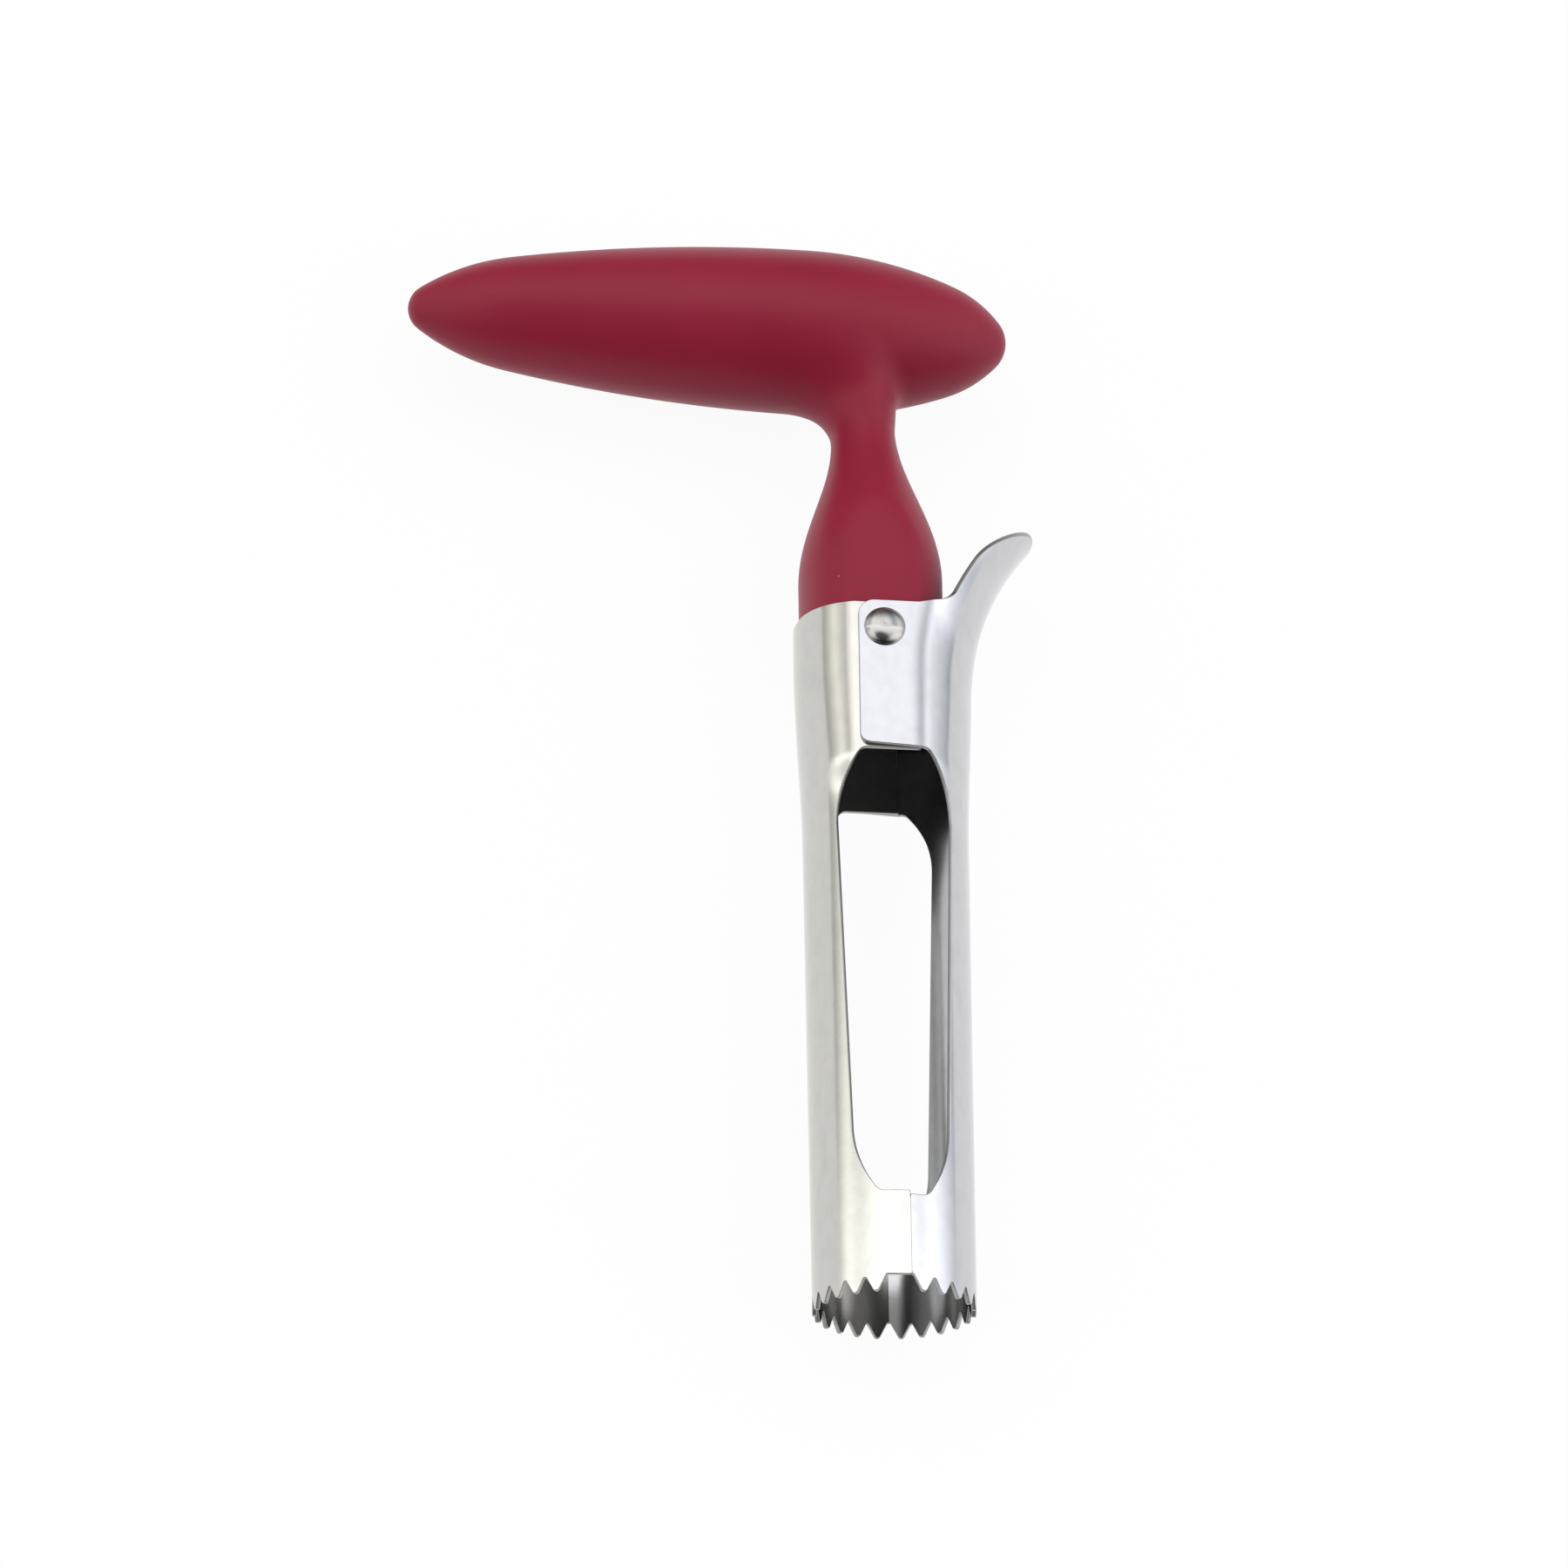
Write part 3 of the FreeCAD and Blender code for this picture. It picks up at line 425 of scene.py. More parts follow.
def fixed_outline():
    """Outline of the fixed half, with its ear and rounded upper corner."""
    edge = SEAM_X - SEAM_LINE
    path = [(edge, TOOTH_HEIGHT), (edge, WINDOW_BOTTOM)]
    path += window_corners(-1, WINDOW_BOTTOM, SHOULDER_END)
    path += [
        (FIXED_EAR_REACH, SHOULDER_END),
        (FIXED_EAR_REACH, SHELL_TOP, FIXED_EAR_ROUND),
        (-FIXED_FLAT_EDGE, SHELL_TOP, SHELL_RADIUS),
        (-SHELL_RADIUS, SHELL_TOP + SIDE_RISE),
    ]
    pitch = (math.pi + 2 * seam_angle() - LAND_ANGLE - SEAM_LAND) / TEETH
    first_notch = math.pi / 2 - LAND_ANGLE + seam_angle()
    return half_outline(-1, rounded(path, ARC_STEP), [], first_notch * MOUTH_RADIUS,
                        pitch * MOUTH_RADIUS)


def lever_outline():
    """Outline of the lever half, with its ear and the thumb lever."""
    edge = SEAM_X + SEAM_LINE
    path = [(edge, TOOTH_HEIGHT), (edge, WINDOW_BOTTOM - WINDOW_DROP)]
    path += window_corners(1, WINDOW_BOTTOM - WINDOW_DROP, SHOULDER_END)
    path += [
        (-LEVER_EAR_REACH, SHOULDER_END + FOOT_RISE, EAR_LOWER_ROUND),
        (-LEVER_EAR_REACH, SHELL_TOP, EAR_UPPER_ROUND),
        (LEVER_FLAT_EDGE, SHELL_TOP),
    ]
    tab = divided(rounded([
        (LEVER_FLAT + LEVER_ROOT_ROUND, SHELL_TOP),
        (LEVER_ROOT_HALF, SHELL_TOP, LEVER_ROOT_ROUND),
        (LEVER_END_HALF, LEVER_TIP, LEVER_TIP_ROUND),
        (0.0, LEVER_TIP),
    ], ARC_STEP), EDGE_STEP)
    rise = [np.array([round_at_z(1, z, y), y]) for z, y in tab if z < LEVER_FLAT - LEVER_ROOT_SPARE]
    fall = [np.array([-s, y]) for s, y in rise[-2::-1]]
    pitch = (math.pi - 2 * seam_angle() - 2 * SEAM_LAND) / TEETH
    first_notch = math.pi / 2 - seam_angle() - SEAM_LAND
    return half_outline(1, rounded(path, ARC_STEP), rise + fall, first_notch * MOUTH_RADIUS,
                        pitch * MOUTH_RADIUS)


def spaced(loop):
    """The loop as an array, without points that nearly coincide."""
    out = [loop[0]]
    for point in loop[1:]:
        if np.linalg.norm(point - out[-1]) > LEAST_STEP:
            out.append(point)
    if np.linalg.norm(out[0] - out[-1]) <= LEAST_STEP:
        out.pop()
    return np.array(out)


def signed_area(loop):
    """Area of the loop, positive where it runs anticlockwise."""
    after = np.roll(loop, -1, 0)
    return np.sum(loop[:, 0] * after[:, 1] - after[:, 0] * loop[:, 1]) / 2


def outward(loop):
    """Direction out of the loop at each of its points, longer at its corners."""
    ahead = np.roll(loop, -1, 0) - loop
    ahead /= np.linalg.norm(ahead, axis=1, keepdims=True)
    behind = np.roll(ahead, 1, 0)
    turn = np.sign(signed_area(loop))
    first = np.stack([behind[:, 1], -behind[:, 0]], 1) * turn
    second = np.stack([ahead[:, 1], -ahead[:, 0]], 1) * turn
    middle = first + second
    middle /= np.linalg.norm(middle, axis=1, keepdims=True)
    return middle / np.clip(np.sum(middle * second, 1), 0.6, 1)[:, None]


def within(loop, points):
    """Which of the points lie inside the loop."""
    hit = np.zeros(len(points), bool)
    x, y = points.T
    for (x0, y0), (x1, y1) in zip(loop, np.roll(loop, -1, 0)):
        if y0 != y1:
            hit ^= ((y0 > y) != (y1 > y)) & (x < (x1 - x0) * (y - y0) / (y1 - y0) + x0)
    return hit


def rivet_holes(side):
    """The rivet's hole in both ears, in distance round the sheet and height."""
    turns = np.linspace(0, 2 * math.pi, 32, endpoint=False)
    ring = [(PIVOT[0] + HOLE_RADIUS * math.cos(t), PIVOT[1] + HOLE_RADIUS * math.sin(t)) for t in turns]
    return [np.array([(round_at_x(side, x, y, face), y) for x, y in ring]) for face in (1, -1)]


def sheet_grid(loop, holes):
    """Staggered points inside the outline, clear of its edges."""
    edge_points = np.vstack([loop] + holes)
    tree = KDTree(len(edge_points))
    for i, (s, y) in enumerate(edge_points):
        tree.insert((s, y, 0), i)
    tree.balance()
    reach = np.abs(loop[:, 0]).max()
    rows = np.arange(SHEET_START, loop[:, 1].max(), SHEET_STEP)
    columns = np.arange(-reach, reach, SHEET_STEP)
    grid = np.array([(s + SHEET_STEP / 2 * (k % 2), y) for k, y in enumerate(rows) for s in columns])
    keep = within(loop, grid)
    for hole in holes:
        keep &= ~within(hole, grid)
    grid = grid[keep]
    return grid[[tree.find((s, y, 0))[2] > EDGE_CLEARANCE for s, y in grid]]


def flat_mesh(loop, holes):
    """Points of the flat sheet, its triangles and the number of each edge point."""
    points = np.vstack([loop] + holes + [sheet_grid(loop, holes)])
    edges = []
    start = 0
    for ring in [loop] + holes:
        count = len(ring)
        edges += [(start + k, start + (k + 1) % count) for k in range(count)]
        start += count
    found = delaunay_2d_cdt([Vector(p) for p in points], edges, [], 0, 1e-6)
    flat = np.array([tuple(v) for v in found[0]])
    faces = [tuple(f) for f in found[2]]
    middles = np.array([flat[list(f)].mean(0) for f in faces])
    good = within(loop, middles)
    for hole in holes:
        good &= ~within(hole, middles)
    place = {old: new for new, olds in enumerate(found[3]) for old in olds}
    return flat, [f for f, ok in zip(faces, good) if ok], place


def cut_rounding(side, loop):
    """Radius of the cut edge at each point of the outline, finest along the seam."""
    x = surface(side, loop[:, 0], loop[:, 1])[:, 0]
    seam = (np.abs(x - SEAM_X) < SEAM_SPARE) & (loop[:, 1] > TOOTH_HEIGHT + SEAM_SPARE)
    seam &= loop[:, 1] < WINDOW_BOTTOM - WINDOW_DROP - SEAM_SPARE
    return np.where(seam, SEAM_ROUND, CUT_ROUND)


def rim_rings(side, loop, out, radius):
    """Rings of points round the cut edge, from the outer face to the inner one."""
    turns = np.radians([30, 60, 90])
    steps = [(radius * math.sin(t), radius * (1 - math.cos(t))) for t in turns]
    steps += [(reach, WALL - depth) for reach, depth in steps[::-1]]
    lean = TAB_RIM_LEAN * np.clip((loop[:, 1] - SHELL_TOP) / TAB_RIM_RISE, 0, 1) * (side > 0)
    rings = []
    for reach, depth in steps:
        reach = reach + lean * depth / WALL
        s, y = (loop + out * reach[:, None]).T
        rings.append(surface(side, s, y) - surface_normal(side, s, y) * depth[:, None])
    return rings


def between_rings(rings):
    """Faces between closed rings of point numbers, each ring with the next."""
    faces = []
    for low, high in zip(rings, rings[1:]):
        for k in range(len(low)):
            after = (k + 1) % len(low)
            faces.append((low[k], high[k], high[after], low[after]))
    return faces


def hole_walls(place, start, holes, half):
    """Faces through the sheet round each hole, whose edge points follow each other from start."""
    faces = []
    for hole in holes:
        ring = [place[start + k] for k in range(len(hole))]
        for a, b in zip(ring, ring[1:] + ring[:1]):
            faces.append((a, b, half + b, half + a))
        start += len(hole)
    return faces


def mark_points(mesh, name, marked):
    """Point attribute for the material, 1 on the marked points."""
    attribute = mesh.attributes.new(name, "FLOAT", "POINT")
    attribute.data.foreach_set("value", [float(i in marked) for i in range(len(mesh.vertices))])


def sheet_piece(name, side, outline):
    """A half tube as a closed mesh with rounded cut edges, from its flat outline."""
    loop = spaced(outline)
    radius = cut_rounding(side, loop)
    out = outward(loop)
    loop = loop - out * radius[:, None]
    holes = rivet_holes(side)
    flat, triangles, place = flat_mesh(loop, holes)
    outer = surface(side, flat[:, 0], flat[:, 1])
    normals = surface_normal(side, flat[:, 0], flat[:, 1])
    rims = rim_rings(side, loop, out, radius)
    points = np.vstack([outer, outer - normals * WALL] + rims)
    half = len(flat)
    count = len(loop)
    faces = [f if side > 0 else f[::-1] for f in triangles]
    faces += [tuple(half + i for i in f[::-1]) for f in faces]
    rings = [[place[k] for k in range(count)]]
    rings += [range(2 * half + count * k, 2 * half + count * (k + 1)) for k in range(len(rims))]
    rings.append([half + i for i in rings[0]])
    faces += between_rings(rings) + hole_walls(place, count, holes, half)
    mesh = closed_mesh(name, points * MM, faces)
    smooth = np.array([tuple(v.vector) for v in mesh.vertex_normals])
    smooth[:half] = normals
    smooth[half:2 * half] = -normals
    mesh.normals_split_custom_set_from_vertices([tuple(v) for v in smooth])
    mark_points(mesh, "inner", range(half, 2 * half))
    mark_points(mesh, "edge", range(2 * half, len(points)))
    return add_object(name, mesh)


def closed_mesh(name, points, faces):
    """Smooth-shaded mesh with its faces turned outwards."""
    mesh = bpy.data.meshes.new(name)
    mesh.from_pydata([tuple(p) for p in points], [], faces)
    mesh.validate()
    bm = bmesh.new()
    bm.from_mesh(mesh)
    bmesh.ops.recalc_face_normals(bm, faces=bm.faces)
    bm.to_mesh(mesh)
    bm.free()
    mesh.shade_smooth()
    return mesh


def add_object(name, data):
    obj = bpy.data.objects.new(name, data)
    bpy.context.scene.collection.objects.link(obj)
    return obj


# Grip

def bar_arcs(end):
    """Centres and radii of the tip, flank and crown arcs of one end of the crossbar."""
    length = end["length"]
    tip = end["tip"] * BAR_RADIUS ** 2 / length
    flank = end["flank"] * math.sqrt(length * BAR_RADIUS)
    crown = end["crown"] * length ** 2 / BAR_RADIUS
    tip_centre = np.array([length - tip, 0.0])
    crown_centre = np.array([0.0, BAR_RADIUS - crown])
    reach = np.linalg.norm(tip_centre - crown_centre)
    unit = (tip_centre - crown_centre) / reach
    along = ((crown - flank) ** 2 - (flank - tip) ** 2 + reach ** 2) / (2 * reach)
    aside = math.sqrt((crown - flank) ** 2 - along ** 2)
    flank_centre = crown_centre + unit * along + np.array([-unit[1], unit[0]]) * aside
    return (tip_centre, tip), (flank_centre, flank), (crown_centre, crown)


def oval_distance(end, along, out):
    """Distance from one end's egg-shaped outline, negative inside."""
    tip, flank, crown = bar_arcs(end)
    spans = [np.hypot(along - centre[0], out - centre[1]) - radius for centre, radius in (tip, flank, crown)]
    to_flank = flank[0] - crown[0]
    to_tip = tip[0] - flank[0]
    on_crown = to_flank[0] * (out - crown[0][1]) > to_flank[1] * (along - crown[0][0])
    on_flank = to_tip[0] * (out - flank[0][1]) > to_tip[1] * (along - flank[0][0])
    return np.where(on_crown, spans[2], np.where(on_flank, spans[1], spans[0]))


def bar_distance(p):
    """Distance from the crossbar, negative inside."""
    across = p[:, 0] - BAR_CROWN[0]
    up = p[:, 1] - BAR_CROWN[1]
    along = across * math.cos(BAR_SLOPE) - up * math.sin(BAR_SLOPE)
    out = np.hypot(across * math.sin(BAR_SLOPE) + up * math.cos(BAR_SLOPE), p[:, 2])
    return np.where(along < 0, oval_distance(LONG_END, -along, out), oval_distance(SHORT_END, along, out))


def stem_section(y):
    """Centre, half width and half depth of the stem at a height."""
    share = np.clip((y - FLARE_Y) / (NECK_Y - FLARE_Y), 0, 1)
    half_width = ease(share, FLARE_HALF_WIDTH, NECK_HALF_WIDTH)
    half_depth = ease(share, FLARE_HALF_DEPTH, NECK_HALF_DEPTH)
    above = np.clip((y - NECK_Y) / (BAR_CROWN[1] - BAR_RADIUS - NECK_Y), 0, 2)
    half_width = half_width * (1 + NECK_WIDENING[0] * above + NECK_WIDENING[1] * above ** 2)
    half_depth = half_depth * (1 + NECK_DEEPENING * above)
    centre = HANDLE_X - NECK_LEAN * (share ** 2 + LEAN_ABOVE_NECK * above)
    below = np.clip((FLARE_Y - y) / (FLARE_Y - SKIN_BOTTOM - SKIN_FOOT), 0, 1)
    half_width = half_width - (FLARE_HALF_WIDTH - PLUG_HALF_WIDTH) * below
    return centre, half_width, half_depth


def smooth_least(a, b, reach):
    """The lesser of a and b, eased where they differ by less than reach."""
    share = np.clip(0.5 + 0.5 * (b - a) / reach, 0, 1)
    return b * (1 - share) + a * share - reach * share * (1 - share)


def stem_distance(p):
    """About the distance from the stem with its flat front and back, negative inside."""
    centre, half_width, half_depth = stem_section(p[:, 1])
    x = p[:, 0] - centre
    size = np.sqrt((x / half_width) ** 2 + (p[:, 2] / half_depth) ** 2) + 1e-9
    change = np.sqrt((x / half_width ** 2) ** 2 + (p[:, 2] / half_depth ** 2) ** 2) + 1e-9
    body = (size - 1) * size / change
    trimmed = -smooth_least(-body, STEM_FLAT - np.abs(p[:, 2]), STEM_FLAT_ROUND)
    return np.maximum(trimmed, p[:, 1] - BAR_CROWN[1])


def grip_distance(p):
    """Crossbar and stem run together, with the wider fillet on the long side."""
    leftward = -p[:, 0] + stem_section(p[:, 1])[0]
    leftward = leftward / (np.hypot(leftward, p[:, 2]) + 1e-6)
    fillet = ease(((leftward + 1) / 2) ** 2, FILLET_SHORT, FILLET_LONG)
    return smooth_least(bar_distance(p), stem_distance(p), fillet)


def tube_of_rings(bm, rings):
    """Closed tube through rings of points, with flat ends."""
    loops = [[bm.verts.new(Vector(p) * MM) for p in ring] for ring in rings]
    count = len(rings[0])
    for low, high in zip(loops, loops[1:]):
        for k in range(count):
            after = (k + 1) % count
            bm.faces.new((low[k], low[after], high[after], high[k]))
    bm.faces.new(loops[0][::-1])
    bm.faces.new(loops[-1])


def rough_bar(turns):
    """Rings along the crossbar, taken as two half ellipsoids."""
    rings = []
    for k in range(BAR_RINGS + 1):
        lean = math.cos(math.pi * k / BAR_RINGS)
        length = LONG_END["length"] if lean > 0 else SHORT_END["length"]
        x = BAR_CROWN[0] - lean * length
        r = BAR_RADIUS * math.sqrt(max(1 - lean ** 2, 0.002))
        rings.append([(x, BAR_CROWN[1] + r * math.cos(t), r * math.sin(t)) for t in turns])
    return rings


def rough_stem(turns):
    """Rings up the stem, from below the skin's foot into the crossbar."""
    rings = []
    for y in np.arange(SKIN_BOTTOM - STEM_SPARE, BAR_CROWN[1] - 2 * STEM_STEP, STEM_STEP):
        centre, half_width, half_depth = stem_section(y)
        half_depth = min(half_depth, STEM_FLAT)
        rings.append([(centre + half_width * math.cos(t), y, half_depth * math.sin(t)) for t in turns])
    return rings


def grip_start():
    """Rough crossbar and stem, run together by a voxel remesh."""
    bm = bmesh.new()
    turns = [2 * math.pi * k / GRIP_SIDES for k in range(GRIP_SIDES)]
    tube_of_rings(bm, rough_bar(turns))
    tube_of_rings(bm, rough_stem(turns))
    bmesh.ops.recalc_face_normals(bm, faces=bm.faces)
    mesh = bpy.data.meshes.new("grip_start")
    bm.to_mesh(mesh)
    bm.free()
    holder = add_object("grip_start", mesh)
    grid = holder.modifiers.new("remesh", "REMESH")
    grid.mode = "VOXEL"
    grid.voxel_size = GRIP_VOXEL * MM
    done = bpy.data.meshes.new_from_object(holder.evaluated_get(bpy.context.evaluated_depsgraph_get()))
    bpy.data.objects.remove(holder)
    return done


def grip_slope(points):
    """Gradient of the grip's distance."""
    steps = np.eye(3) * SLOPE_STEP
    change = [grip_distance(points + e) - grip_distance(points - e) for e in steps]
    return np.stack(change, 1) / (2 * SLOPE_STEP)


def settle(bm, rounds, most):
    """Vertices drawn onto the grip's surface, at most so far in each round."""
    points = np.array([tuple(v.co) for v in bm.verts]) / MM
    for _ in range(rounds):
        slope = grip_slope(points)
        step = slope / (np.sum(slope ** 2, 1, keepdims=True) + 1e-6) * grip_distance(points)[:, None]
        size = np.linalg.norm(step, axis=1, keepdims=True)
        points = points - step * np.minimum(1, most / (size + 1e-9))
    for v, p in zip(bm.verts, points):
        v.co = Vector(p * MM)


def make_grip():
    """Soft skin, drawn onto the smooth surface that the crossbar and the stem make together."""
    bm = bmesh.new()
    bm.from_mesh(grip_start())
    for rounds, most in GRIP_ROUNDS:
        settle(bm, rounds, most)
        bmesh.ops.smooth_vert(bm, verts=bm.verts, factor=0.5,
                              use_axis_x=True, use_axis_y=True, use_axis_z=True)
    settle(bm, *GRIP_ROUNDS[-1])
    cut = bmesh.ops.bisect_plane(bm, geom=bm.verts[:] + bm.edges[:] + bm.faces[:],
                                 plane_co=(0, SKIN_BOTTOM * MM, 0), plane_no=(0, -1, 0), clear_outer=True)
    rim = [e for e in cut["geom_cut"] if isinstance(e, bmesh.types.BMEdge)]
    bmesh.ops.contextual_create(bm, geom=rim)
    mesh = bpy.data.meshes.new("grip")
    bm.to_mesh(mesh)
    bm.free()
    mesh.shade_smooth()
    slope = grip_slope(np.array([tuple(v.co) for v in mesh.vertices]) / MM)
    slope /= np.linalg.norm(slope, axis=1, keepdims=True) + 1e-9
    mesh.normals_split_custom_set_from_vertices([tuple(v) for v in slope])
    return add_object("grip", mesh)


# Rivet

def head_profile():
    """Domed head with a shallow dimple, from its foot outwards."""
    profile = [(HOLE_RADIUS, HEAD_FOOT - HEAD_SUNK), (HOLE_RADIUS, HEAD_FOOT)]
    for k in range(HEAD_STEPS + 1):
        turn = math.pi / 2 * k / HEAD_STEPS
        radius = HEAD_RADIUS * math.cos(turn)
        height = HEAD_FOOT + HEAD_HEIGHT * math.sin(turn)
        height -= DIMPLE * math.exp(-(radius / DIMPLE_REACH) ** 2)
        profile.append((max(radius, POLE_RADIUS), height))
    return profile


def rivet_piece(name, face):
    """Turned head on the front (1) or the back (-1)."""
    turns = [2 * math.pi * k / HEAD_SIDES for k in range(HEAD_SIDES)]
    points = []
    for radius, height in head_profile():
        for turn in turns:
            x = PIVOT[0] + radius * math.cos(turn)
            y = PIVOT[1] + radius * math.sin(turn)
            points.append((x * MM, y * MM, face * height * MM))
    starts = range(0, len(points), HEAD_SIDES)
    rings = [range(start, start + HEAD_SIDES) for start in starts]
    faces = between_rings(rings) + [tuple(rings[0]), tuple(rings[-1])]
    return add_object(name, closed_mesh(name, points, faces))


# Materials

class Nodes:
    """A short way to write a node tree."""

    def __init__(self, tree, output):
        self.tree = tree
        self.tree.nodes.clear()
        self.out = self.tree.nodes.new("ShaderNodeOutput" + output)

    def add(self, kind, props=None, **inputs):
        """New node with its properties and its inputs, an underscore standing for a space."""
        node = self.tree.nodes.new("ShaderNode" + kind)
        for key, value in (props or {}).items():
            setattr(node, key, value)
        for key, value in inputs.items():
            self.put(node.inputs[key.replace("_", " ")], value)
        return node

    def put(self, socket, value):
        """A link from another node, or a constant, into the socket."""
        if hasattr(value, "is_output"):
            self.tree.links.new(value, socket)
        elif isinstance(value, tuple) and len(value) == 3 and socket.type == "RGBA":
            socket.default_value = (*value, 1)
        else:
            socket.default_value = value

    def math(self, operation, a, b=0.0, clamp=False):
        node = self.add("Math", {"operation": operation, "use_clamp": clamp})
        self.put(node.inputs[0], a)
        self.put(node.inputs[1], b)
        return node.outputs[0]

    def plus(self, start, *parts):
        """start and each part, a value and its share, added up."""
        for value, share in parts:
            start = self.math("ADD", start, self.math("MULTIPLY", value, share))
        return start

    def ramp(self, value, stops):
        """Colour that runs through stops, each a place from 0 to 1 and a colour."""
        node = self.add("ValToRGB", Fac=value)
        elements = node.color_ramp.elements
        while len(elements) < len(stops):
            elements.new(0.5)
        for element, (place, color) in zip(elements, stops):
            element.position = place
            element.color = (*color, 1)
        return node.outputs[0]

    def smooth(self, value, start, end):
        """0 at start, 1 at end, eased between them."""
        node = self.add("MapRange", {"interpolation_type": "SMOOTHSTEP"}, Value=value)
        self.put(node.inputs["From Min"], start)
        self.put(node.inputs["From Max"], end)
        return node.outputs[0]

    def mix(self, share, a, b, blend="MIX"):
        """Colour a with its share of b; a Mix node's colours are inputs 6 and 7 and output 2."""
        node = self.add("Mix", {"data_type": "RGBA", "blend_type": blend})
        self.put(node.inputs[0], share)
        self.put(node.inputs[6], a)
        self.put(node.inputs[7], b)
        return node.outputs[2]

    def place(self, scale):
        """The object's own position in metres, stretched by scale."""
        mapping = self.add("Mapping", Scale=scale)
        self.tree.links.new(self.add("TexCoord").outputs["Object"], mapping.inputs["Vector"])
        return mapping.outputs[0]

    def noise(self, scale, detail, roughness=0.5):
        texture = self.add("TexNoise", Vector=self.place(scale), Scale=1.0, Detail=detail,
                           Roughness=roughness)
        return texture.outputs["Fac"]

    def mark(self, place, near, far):
        """1 within near of a place in millimetres, 0 beyond far."""
        node = self.add("VectorMath", {"operation": "DISTANCE"})
        self.put(node.inputs[0], self.add("TexCoord").outputs["Object"])
        self.put(node.inputs[1], tuple(c * MM for c in place))
        return self.smooth(node.outputs["Value"], far * MM, near * MM)

    def finish(self, shader):
        self.tree.links.new(shader.outputs[0], self.out.inputs[0])


def new_material(name):
    material = bpy.data.materials.new(name)
    material.use_nodes = True
    return material, Nodes(material.node_tree, "Material")


def steel(name, tones):
    """Satin stainless sheet with faint lengthwise drawing lines, cloudy patches and rubbed spots.

    Its inside is a little darker and its cut edges dark, both painted shade; it is duller under the plug and
    rough on its cut edges.
    """
    material, n = new_material(name)
    color, tint = tones
    lines = n.noise((2600, 42, 2600), 4.0, 0.6)
    cloud = n.noise((60, 35, 60), 5.0, 0.55)
    fine = n.noise((3000, 3000, 3000), 2.0)
    scuff = n.noise((420, 90, 420), 6.0, 0.7)
    mottle = n.noise((430, 280, 430), 3.0, 0.6)
    inner = n.add("Attribute", {"attribute_name": "inner"}).outputs["Fac"]
    edge = n.add("Attribute", {"attribute_name": "edge"}).outputs["Fac"]
    height = n.add("SeparateXYZ", Vector=n.place((1, 1, 1))).outputs["Y"]
    dull = n.math("MULTIPLY", inner, n.smooth(height, *(y * MM for y in DULL_HEIGHT)))
    marks = n.math("MULTIPLY", n.math("SUBTRACT", scuff, 0.62, True), 2.2, True)
    shade = n.mix(n.math("MULTIPLY", cloud, 0.5), color, tint)
    shade = n.mix(n.math("MULTIPLY", marks, 0.25), shade, tuple(c * 0.8 for c in color))
    # Painted shade: the inside is darkened by 0.17 and the cut edges by 0.3, on top of the random mottle.
    shade = n.mix(n.plus(-0.08, (mottle, 0.2), (inner, 0.17), (edge, 0.3)), shade, BLACK)
    rough = n.plus(0.1, (cloud, 0.06), (lines, 0.04), (marks, 0.1), (edge, 0.25), (dull, 0.15))
    relief = n.plus(0.0, (lines, 0.6), (fine, 0.25))
    grain = n.add("Bump", Strength=0.08, Distance=0.00004, Height=relief)
    waves = n.add("Bump", Strength=0.2, Distance=0.0003, Height=cloud, Normal=grain.outputs[0])
    n.finish(n.add("BsdfPrincipled", Base_Color=shade, Metallic=1.0, Roughness=rough,
                   Normal=waves.outputs[0]))
    return material


def rivet_steel():
    """Polished stainless with a faint turned haze."""
    material, n = new_material("rivet_steel")
    haze = n.noise((1500, 1500, 1500), 3.0)
    rough = n.plus(0.1, (haze, 0.1))
    bump = n.add("Bump", Strength=0.1, Distance=0.00005, Height=haze)
    n.finish(n.add("BsdfPrincipled", Base_Color=RIVET_TONE, Metallic=1.0, Roughness=rough,
                   Normal=bump.outputs[0]))
    return material


def soft_touch():
    """Crimson soft-touch elastomer: matte, with a fine moulded grain, pores and a dusty bloom.

    It has a small gate mark above the tube and a nib at its left tip.
    """
    material, n = new_material("soft_touch")
    cloud = n.noise((45, 45, 45), 4.0)
    grain = n.noise((5200, 5200, 5200), 3.0, 0.6)
    pores = n.add("TexVoronoi", Vector=n.place((2600, 2600, 2600)), Scale=1.0).outputs["Distance"]
    base = n.ramp(cloud, [(0.3, GRIP_TONES[0]), (0.7, GRIP_TONES[1])])
    relief = n.plus(0.0, (grain, 0.7), (pores, 0.4))
    bump = n.add("Bump", Strength=0.10, Distance=0.00006, Height=relief)
    gate = n.mark(GATE_MARK, 0.15, 0.4)
    tip = n.mark(TIP_MARK, 0.4, 1.3)
    base = n.mix(n.math("MULTIPLY", gate, 0.35), base, GATE_TONE)
    bump = n.add("Bump", Strength=0.6, Distance=0.0002, Height=n.math("ADD", gate, tip),
                 Normal=bump.outputs[0])
    rough = n.plus(0.37, (cloud, 0.12))
    shader = n.add("BsdfPrincipled", Base_Color=base, Roughness=rough, Specular_IOR_Level=0.22,
                   Sheen_Weight=0.05, Sheen_Roughness=0.45, Sheen_Tint=BLOOM_TONE,
                   Normal=bump.outputs[0])
    n.finish(shader)
    return material


def core_plastic():
    """Near-black moulded plastic with a cloudy eroded finish."""
    material, n = new_material("core_plastic")
    cloud = n.noise((300, 300, 300), 4.0)
    base = n.ramp(cloud, [(0.3, CORE_TONES[0]), (0.7, CORE_TONES[1])])
    bump = n.add("Bump", Strength=0.15, Distance=0.0001, Height=cloud)
    n.finish(n.add("BsdfPrincipled", Base_Color=base, Roughness=0.45, Normal=bump.outputs[0]))
    return material


# Stage

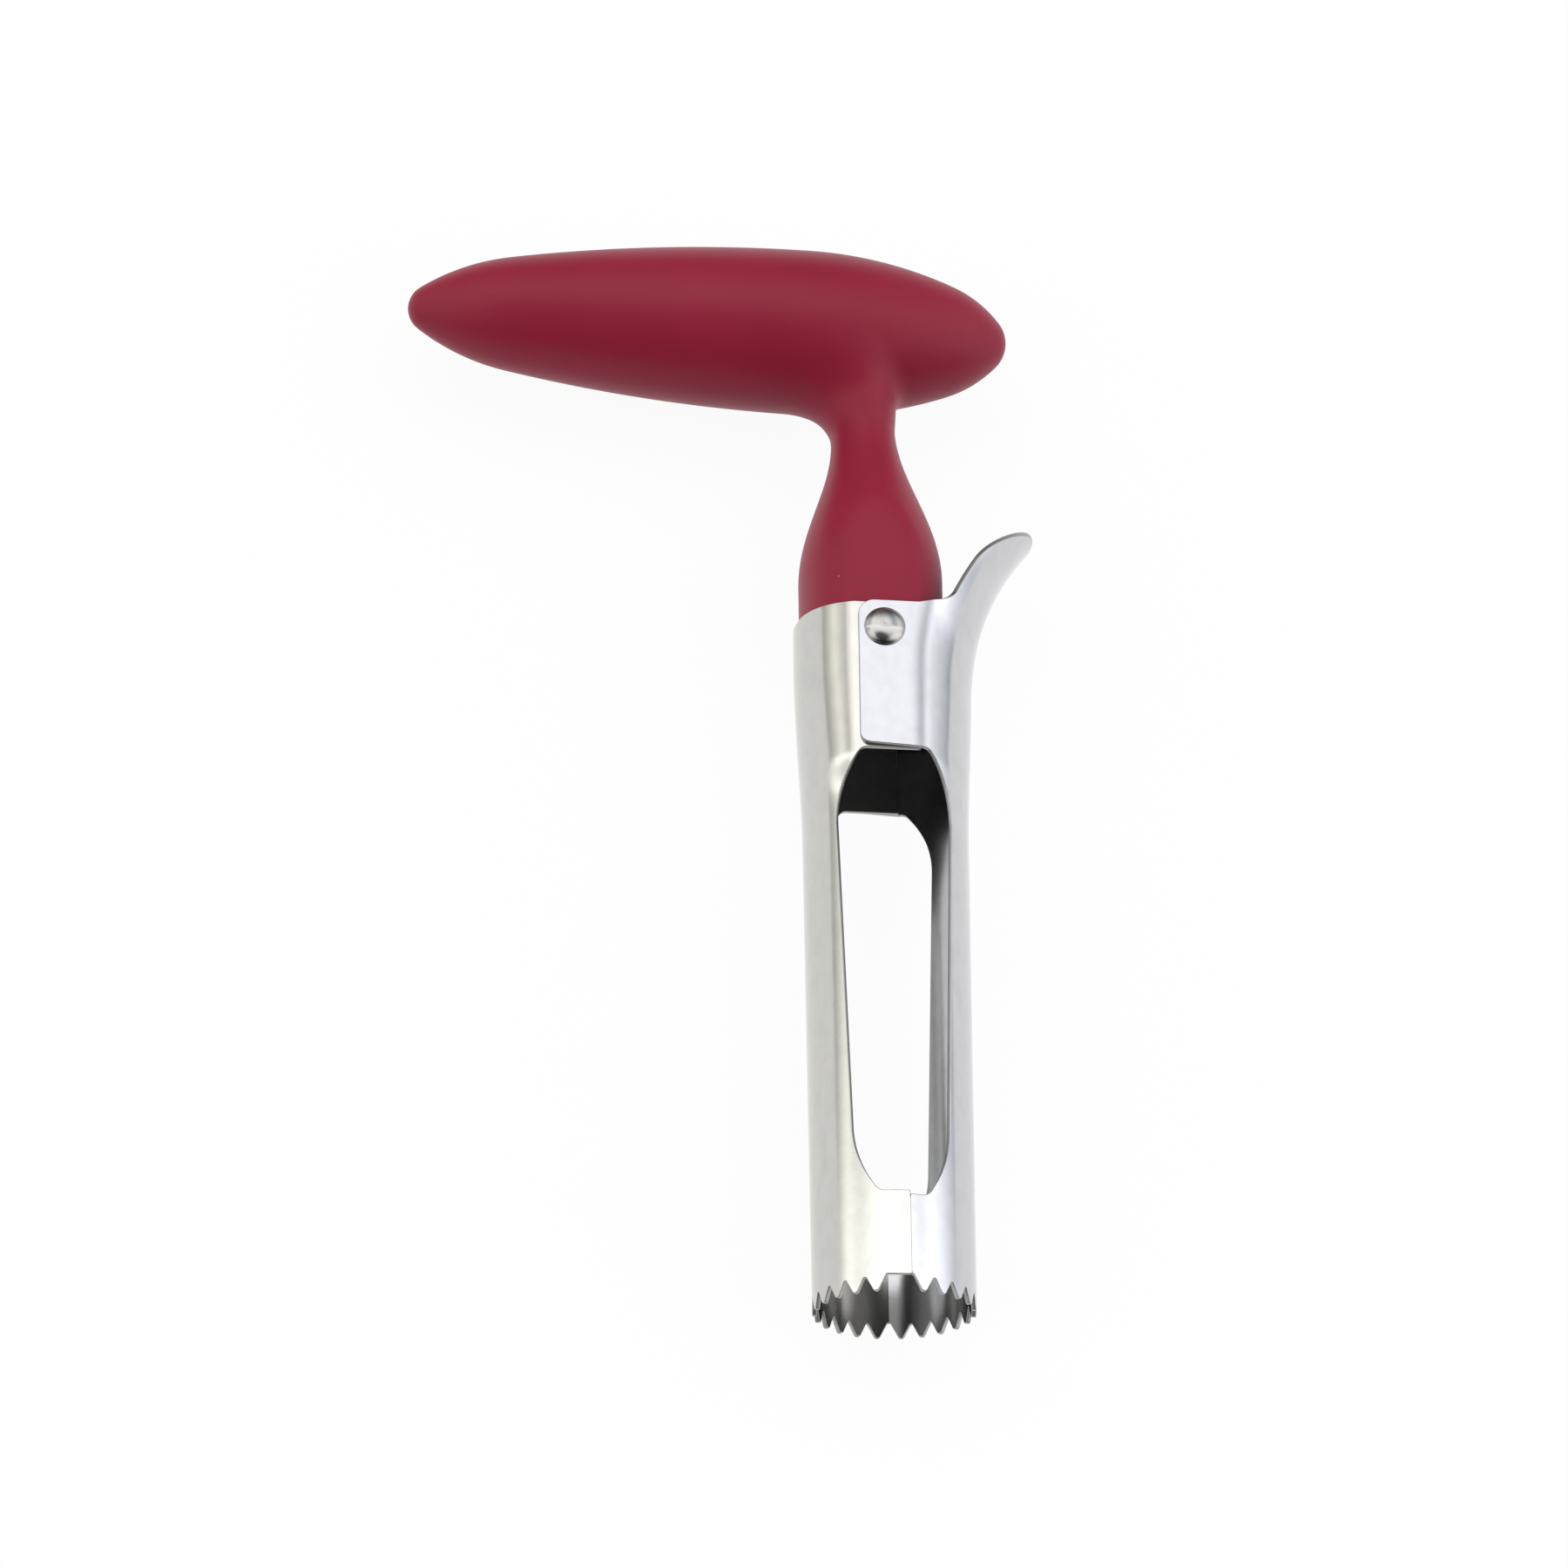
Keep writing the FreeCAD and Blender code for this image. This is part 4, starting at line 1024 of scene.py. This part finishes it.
def floor_material():
    """White floor that shows as white, with the object's shadow still on it."""
    material, n = new_material("floor_white")
    path = n.add("LightPath")
    seen = n.math("MAXIMUM", path.outputs["Is Glossy Ray"], path.outputs["Is Transmission Ray"])
    seen = n.math("MAXIMUM", path.outputs["Is Camera Ray"], seen)
    grain = n.add("TexNoise", Scale=30.0, Detail=2.0).outputs["Fac"]
    cloth = n.add("BsdfDiffuse", Color=n.ramp(grain, list(enumerate(FLOOR_TONES))))
    glow = n.add("Emission", Color=WHITE, Strength=1.0)
    both = n.add("MixShader", Fac=n.math("MULTIPLY", seen, FLOOR_GLOW))
    n.tree.links.new(cloth.outputs[0], both.inputs[1])
    n.tree.links.new(glow.outputs[0], both.inputs[2])
    n.finish(both)
    return material


def make_floor():
    """Wide floor just under the tool, which lies on its back."""
    low = CAD_BOX[0][2]
    mesh = bpy.data.meshes.new("floor")
    corners = [(x * FLOOR_HALF, y * FLOOR_HALF, low) for x, y in ((-1, -1), (1, -1), (1, 1), (-1, 1))]
    mesh.from_pydata(corners, [], [(0, 1, 2, 3)])
    floor = add_object("floor", mesh)
    mesh.materials.append(floor_material())


def between(n, angle, limits):
    """0 at the first of two limits in degrees, 1 at the second, eased between them."""
    return n.smooth(angle, *map(math.radians, limits))


def wall_light(n, round_way, up_way):
    """Light of the studio's walls round the tube's axis and up it."""
    share = n.math("ADD", n.math("DIVIDE", round_way, 2 * math.pi), 0.5)
    under, low, high = [n.ramp(share, [((turn + 180) / 360, tone) for turn, tone in stops])
                        for stops in (UNDER_LIGHT, LOW_LIGHT, HIGH_LIGHT)]
    walls = n.mix(between(n, up_way, UNDER_CHANGE), under, low)
    walls = n.mix(between(n, up_way, HIGH_CHANGE), walls, high)
    share = n.math("ADD", n.math("DIVIDE", up_way, math.pi), 0.5)
    ends = n.ramp(share, [((turn + 90) / 180, (tone, tone, tone)) for turn, tone in UP_LIGHT])
    return n.mix(1.0, walls, ends, "MULTIPLY")


def photographer(n, direction):
    """How dim the place is where the photographer stands."""
    nearness = n.add("VectorMath", {"operation": "DOT_PRODUCT"})
    n.put(nearness.inputs[0], direction)
    n.put(nearness.inputs[1], tuple(Vector(DIM_WAY).normalized()))
    return n.math("MULTIPLY", n.smooth(nearness.outputs["Value"], *DIM_EDGE), DIM_DEPTH)


def low_left(n, round_way, up_way):
    """How dim the light is low on the left."""
    share = n.math("MULTIPLY", between(n, up_way, LOW_LEFT_UP), between(n, round_way, LOW_LEFT_ROUND))
    share = n.math("MULTIPLY", share, between(n, up_way, UNDER_CHANGE))
    return n.math("MULTIPLY", share, LOW_LEFT_DEPTH)


def make_world():
    """Studio round the object: one wide soft box in front, paler walls, dim ends."""
    world = bpy.data.worlds.new("studio")
    bpy.context.scene.world = world
    world.use_nodes = True
    n = Nodes(world.node_tree, "World")
    direction = n.add("TexCoord").outputs["Generated"]
    way = n.add("SeparateXYZ", Vector=direction)
    round_way = n.math("ARCTAN2", way.outputs["X"], way.outputs["Z"])
    up_way = n.math("ARCSINE", way.outputs["Y"])
    light = wall_light(n, round_way, up_way)
    light = n.mix(photographer(n, direction), light, BLACK)
    light = n.mix(low_left(n, round_way, up_way), light, BLACK)
    n.finish(n.add("Background", Color=light, Strength=WORLD_STRENGTH))


def make_camera():
    """Camera that the photograph was taken with."""
    data = bpy.data.cameras.new("camera")
    data.lens = CAMERA_LENS
    data.sensor_width = SENSOR_WIDTH
    data.clip_start = 0.01
    camera = add_object("camera", data)
    turned = Matrix((CAMERA_RIGHT, CAMERA_UP, CAMERA_BACK)).transposed().to_4x4()
    turned.translation = Vector(CAMERA_PLACE) * MM
    camera.matrix_world = turned
    bpy.context.scene.camera = camera


# Build

def dress(piece, body, node, material):
    """The piece rides on its body in place of the CAD node and material."""
    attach(piece, body)
    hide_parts(node)
    piece.data.materials.append(material)


dress(sheet_piece("fixed_half", -1, fixed_outline()), "handle", "fixed_half_tube",
      steel("fixed_steel", FIXED_TONES))
dress(sheet_piece("lever_half", 1, lever_outline()), "lever", "lever_half_tube",
      steel("lever_steel", LEVER_TONES))
dress(make_grip(), "handle", "grip_skin", soft_touch())
rivet_material = rivet_steel()
dress(rivet_piece("rivet_front", 1), "handle", "rivet_sleeve", rivet_material)
dress(rivet_piece("rivet_back", -1), "handle", "rivet_pin", rivet_material)

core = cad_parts["handle_core"]
core.data.materials.clear()
core.data.materials.append(core_plastic())

make_floor()
make_world()
make_camera()
bpy.context.scene.view_settings.view_transform = "Standard"
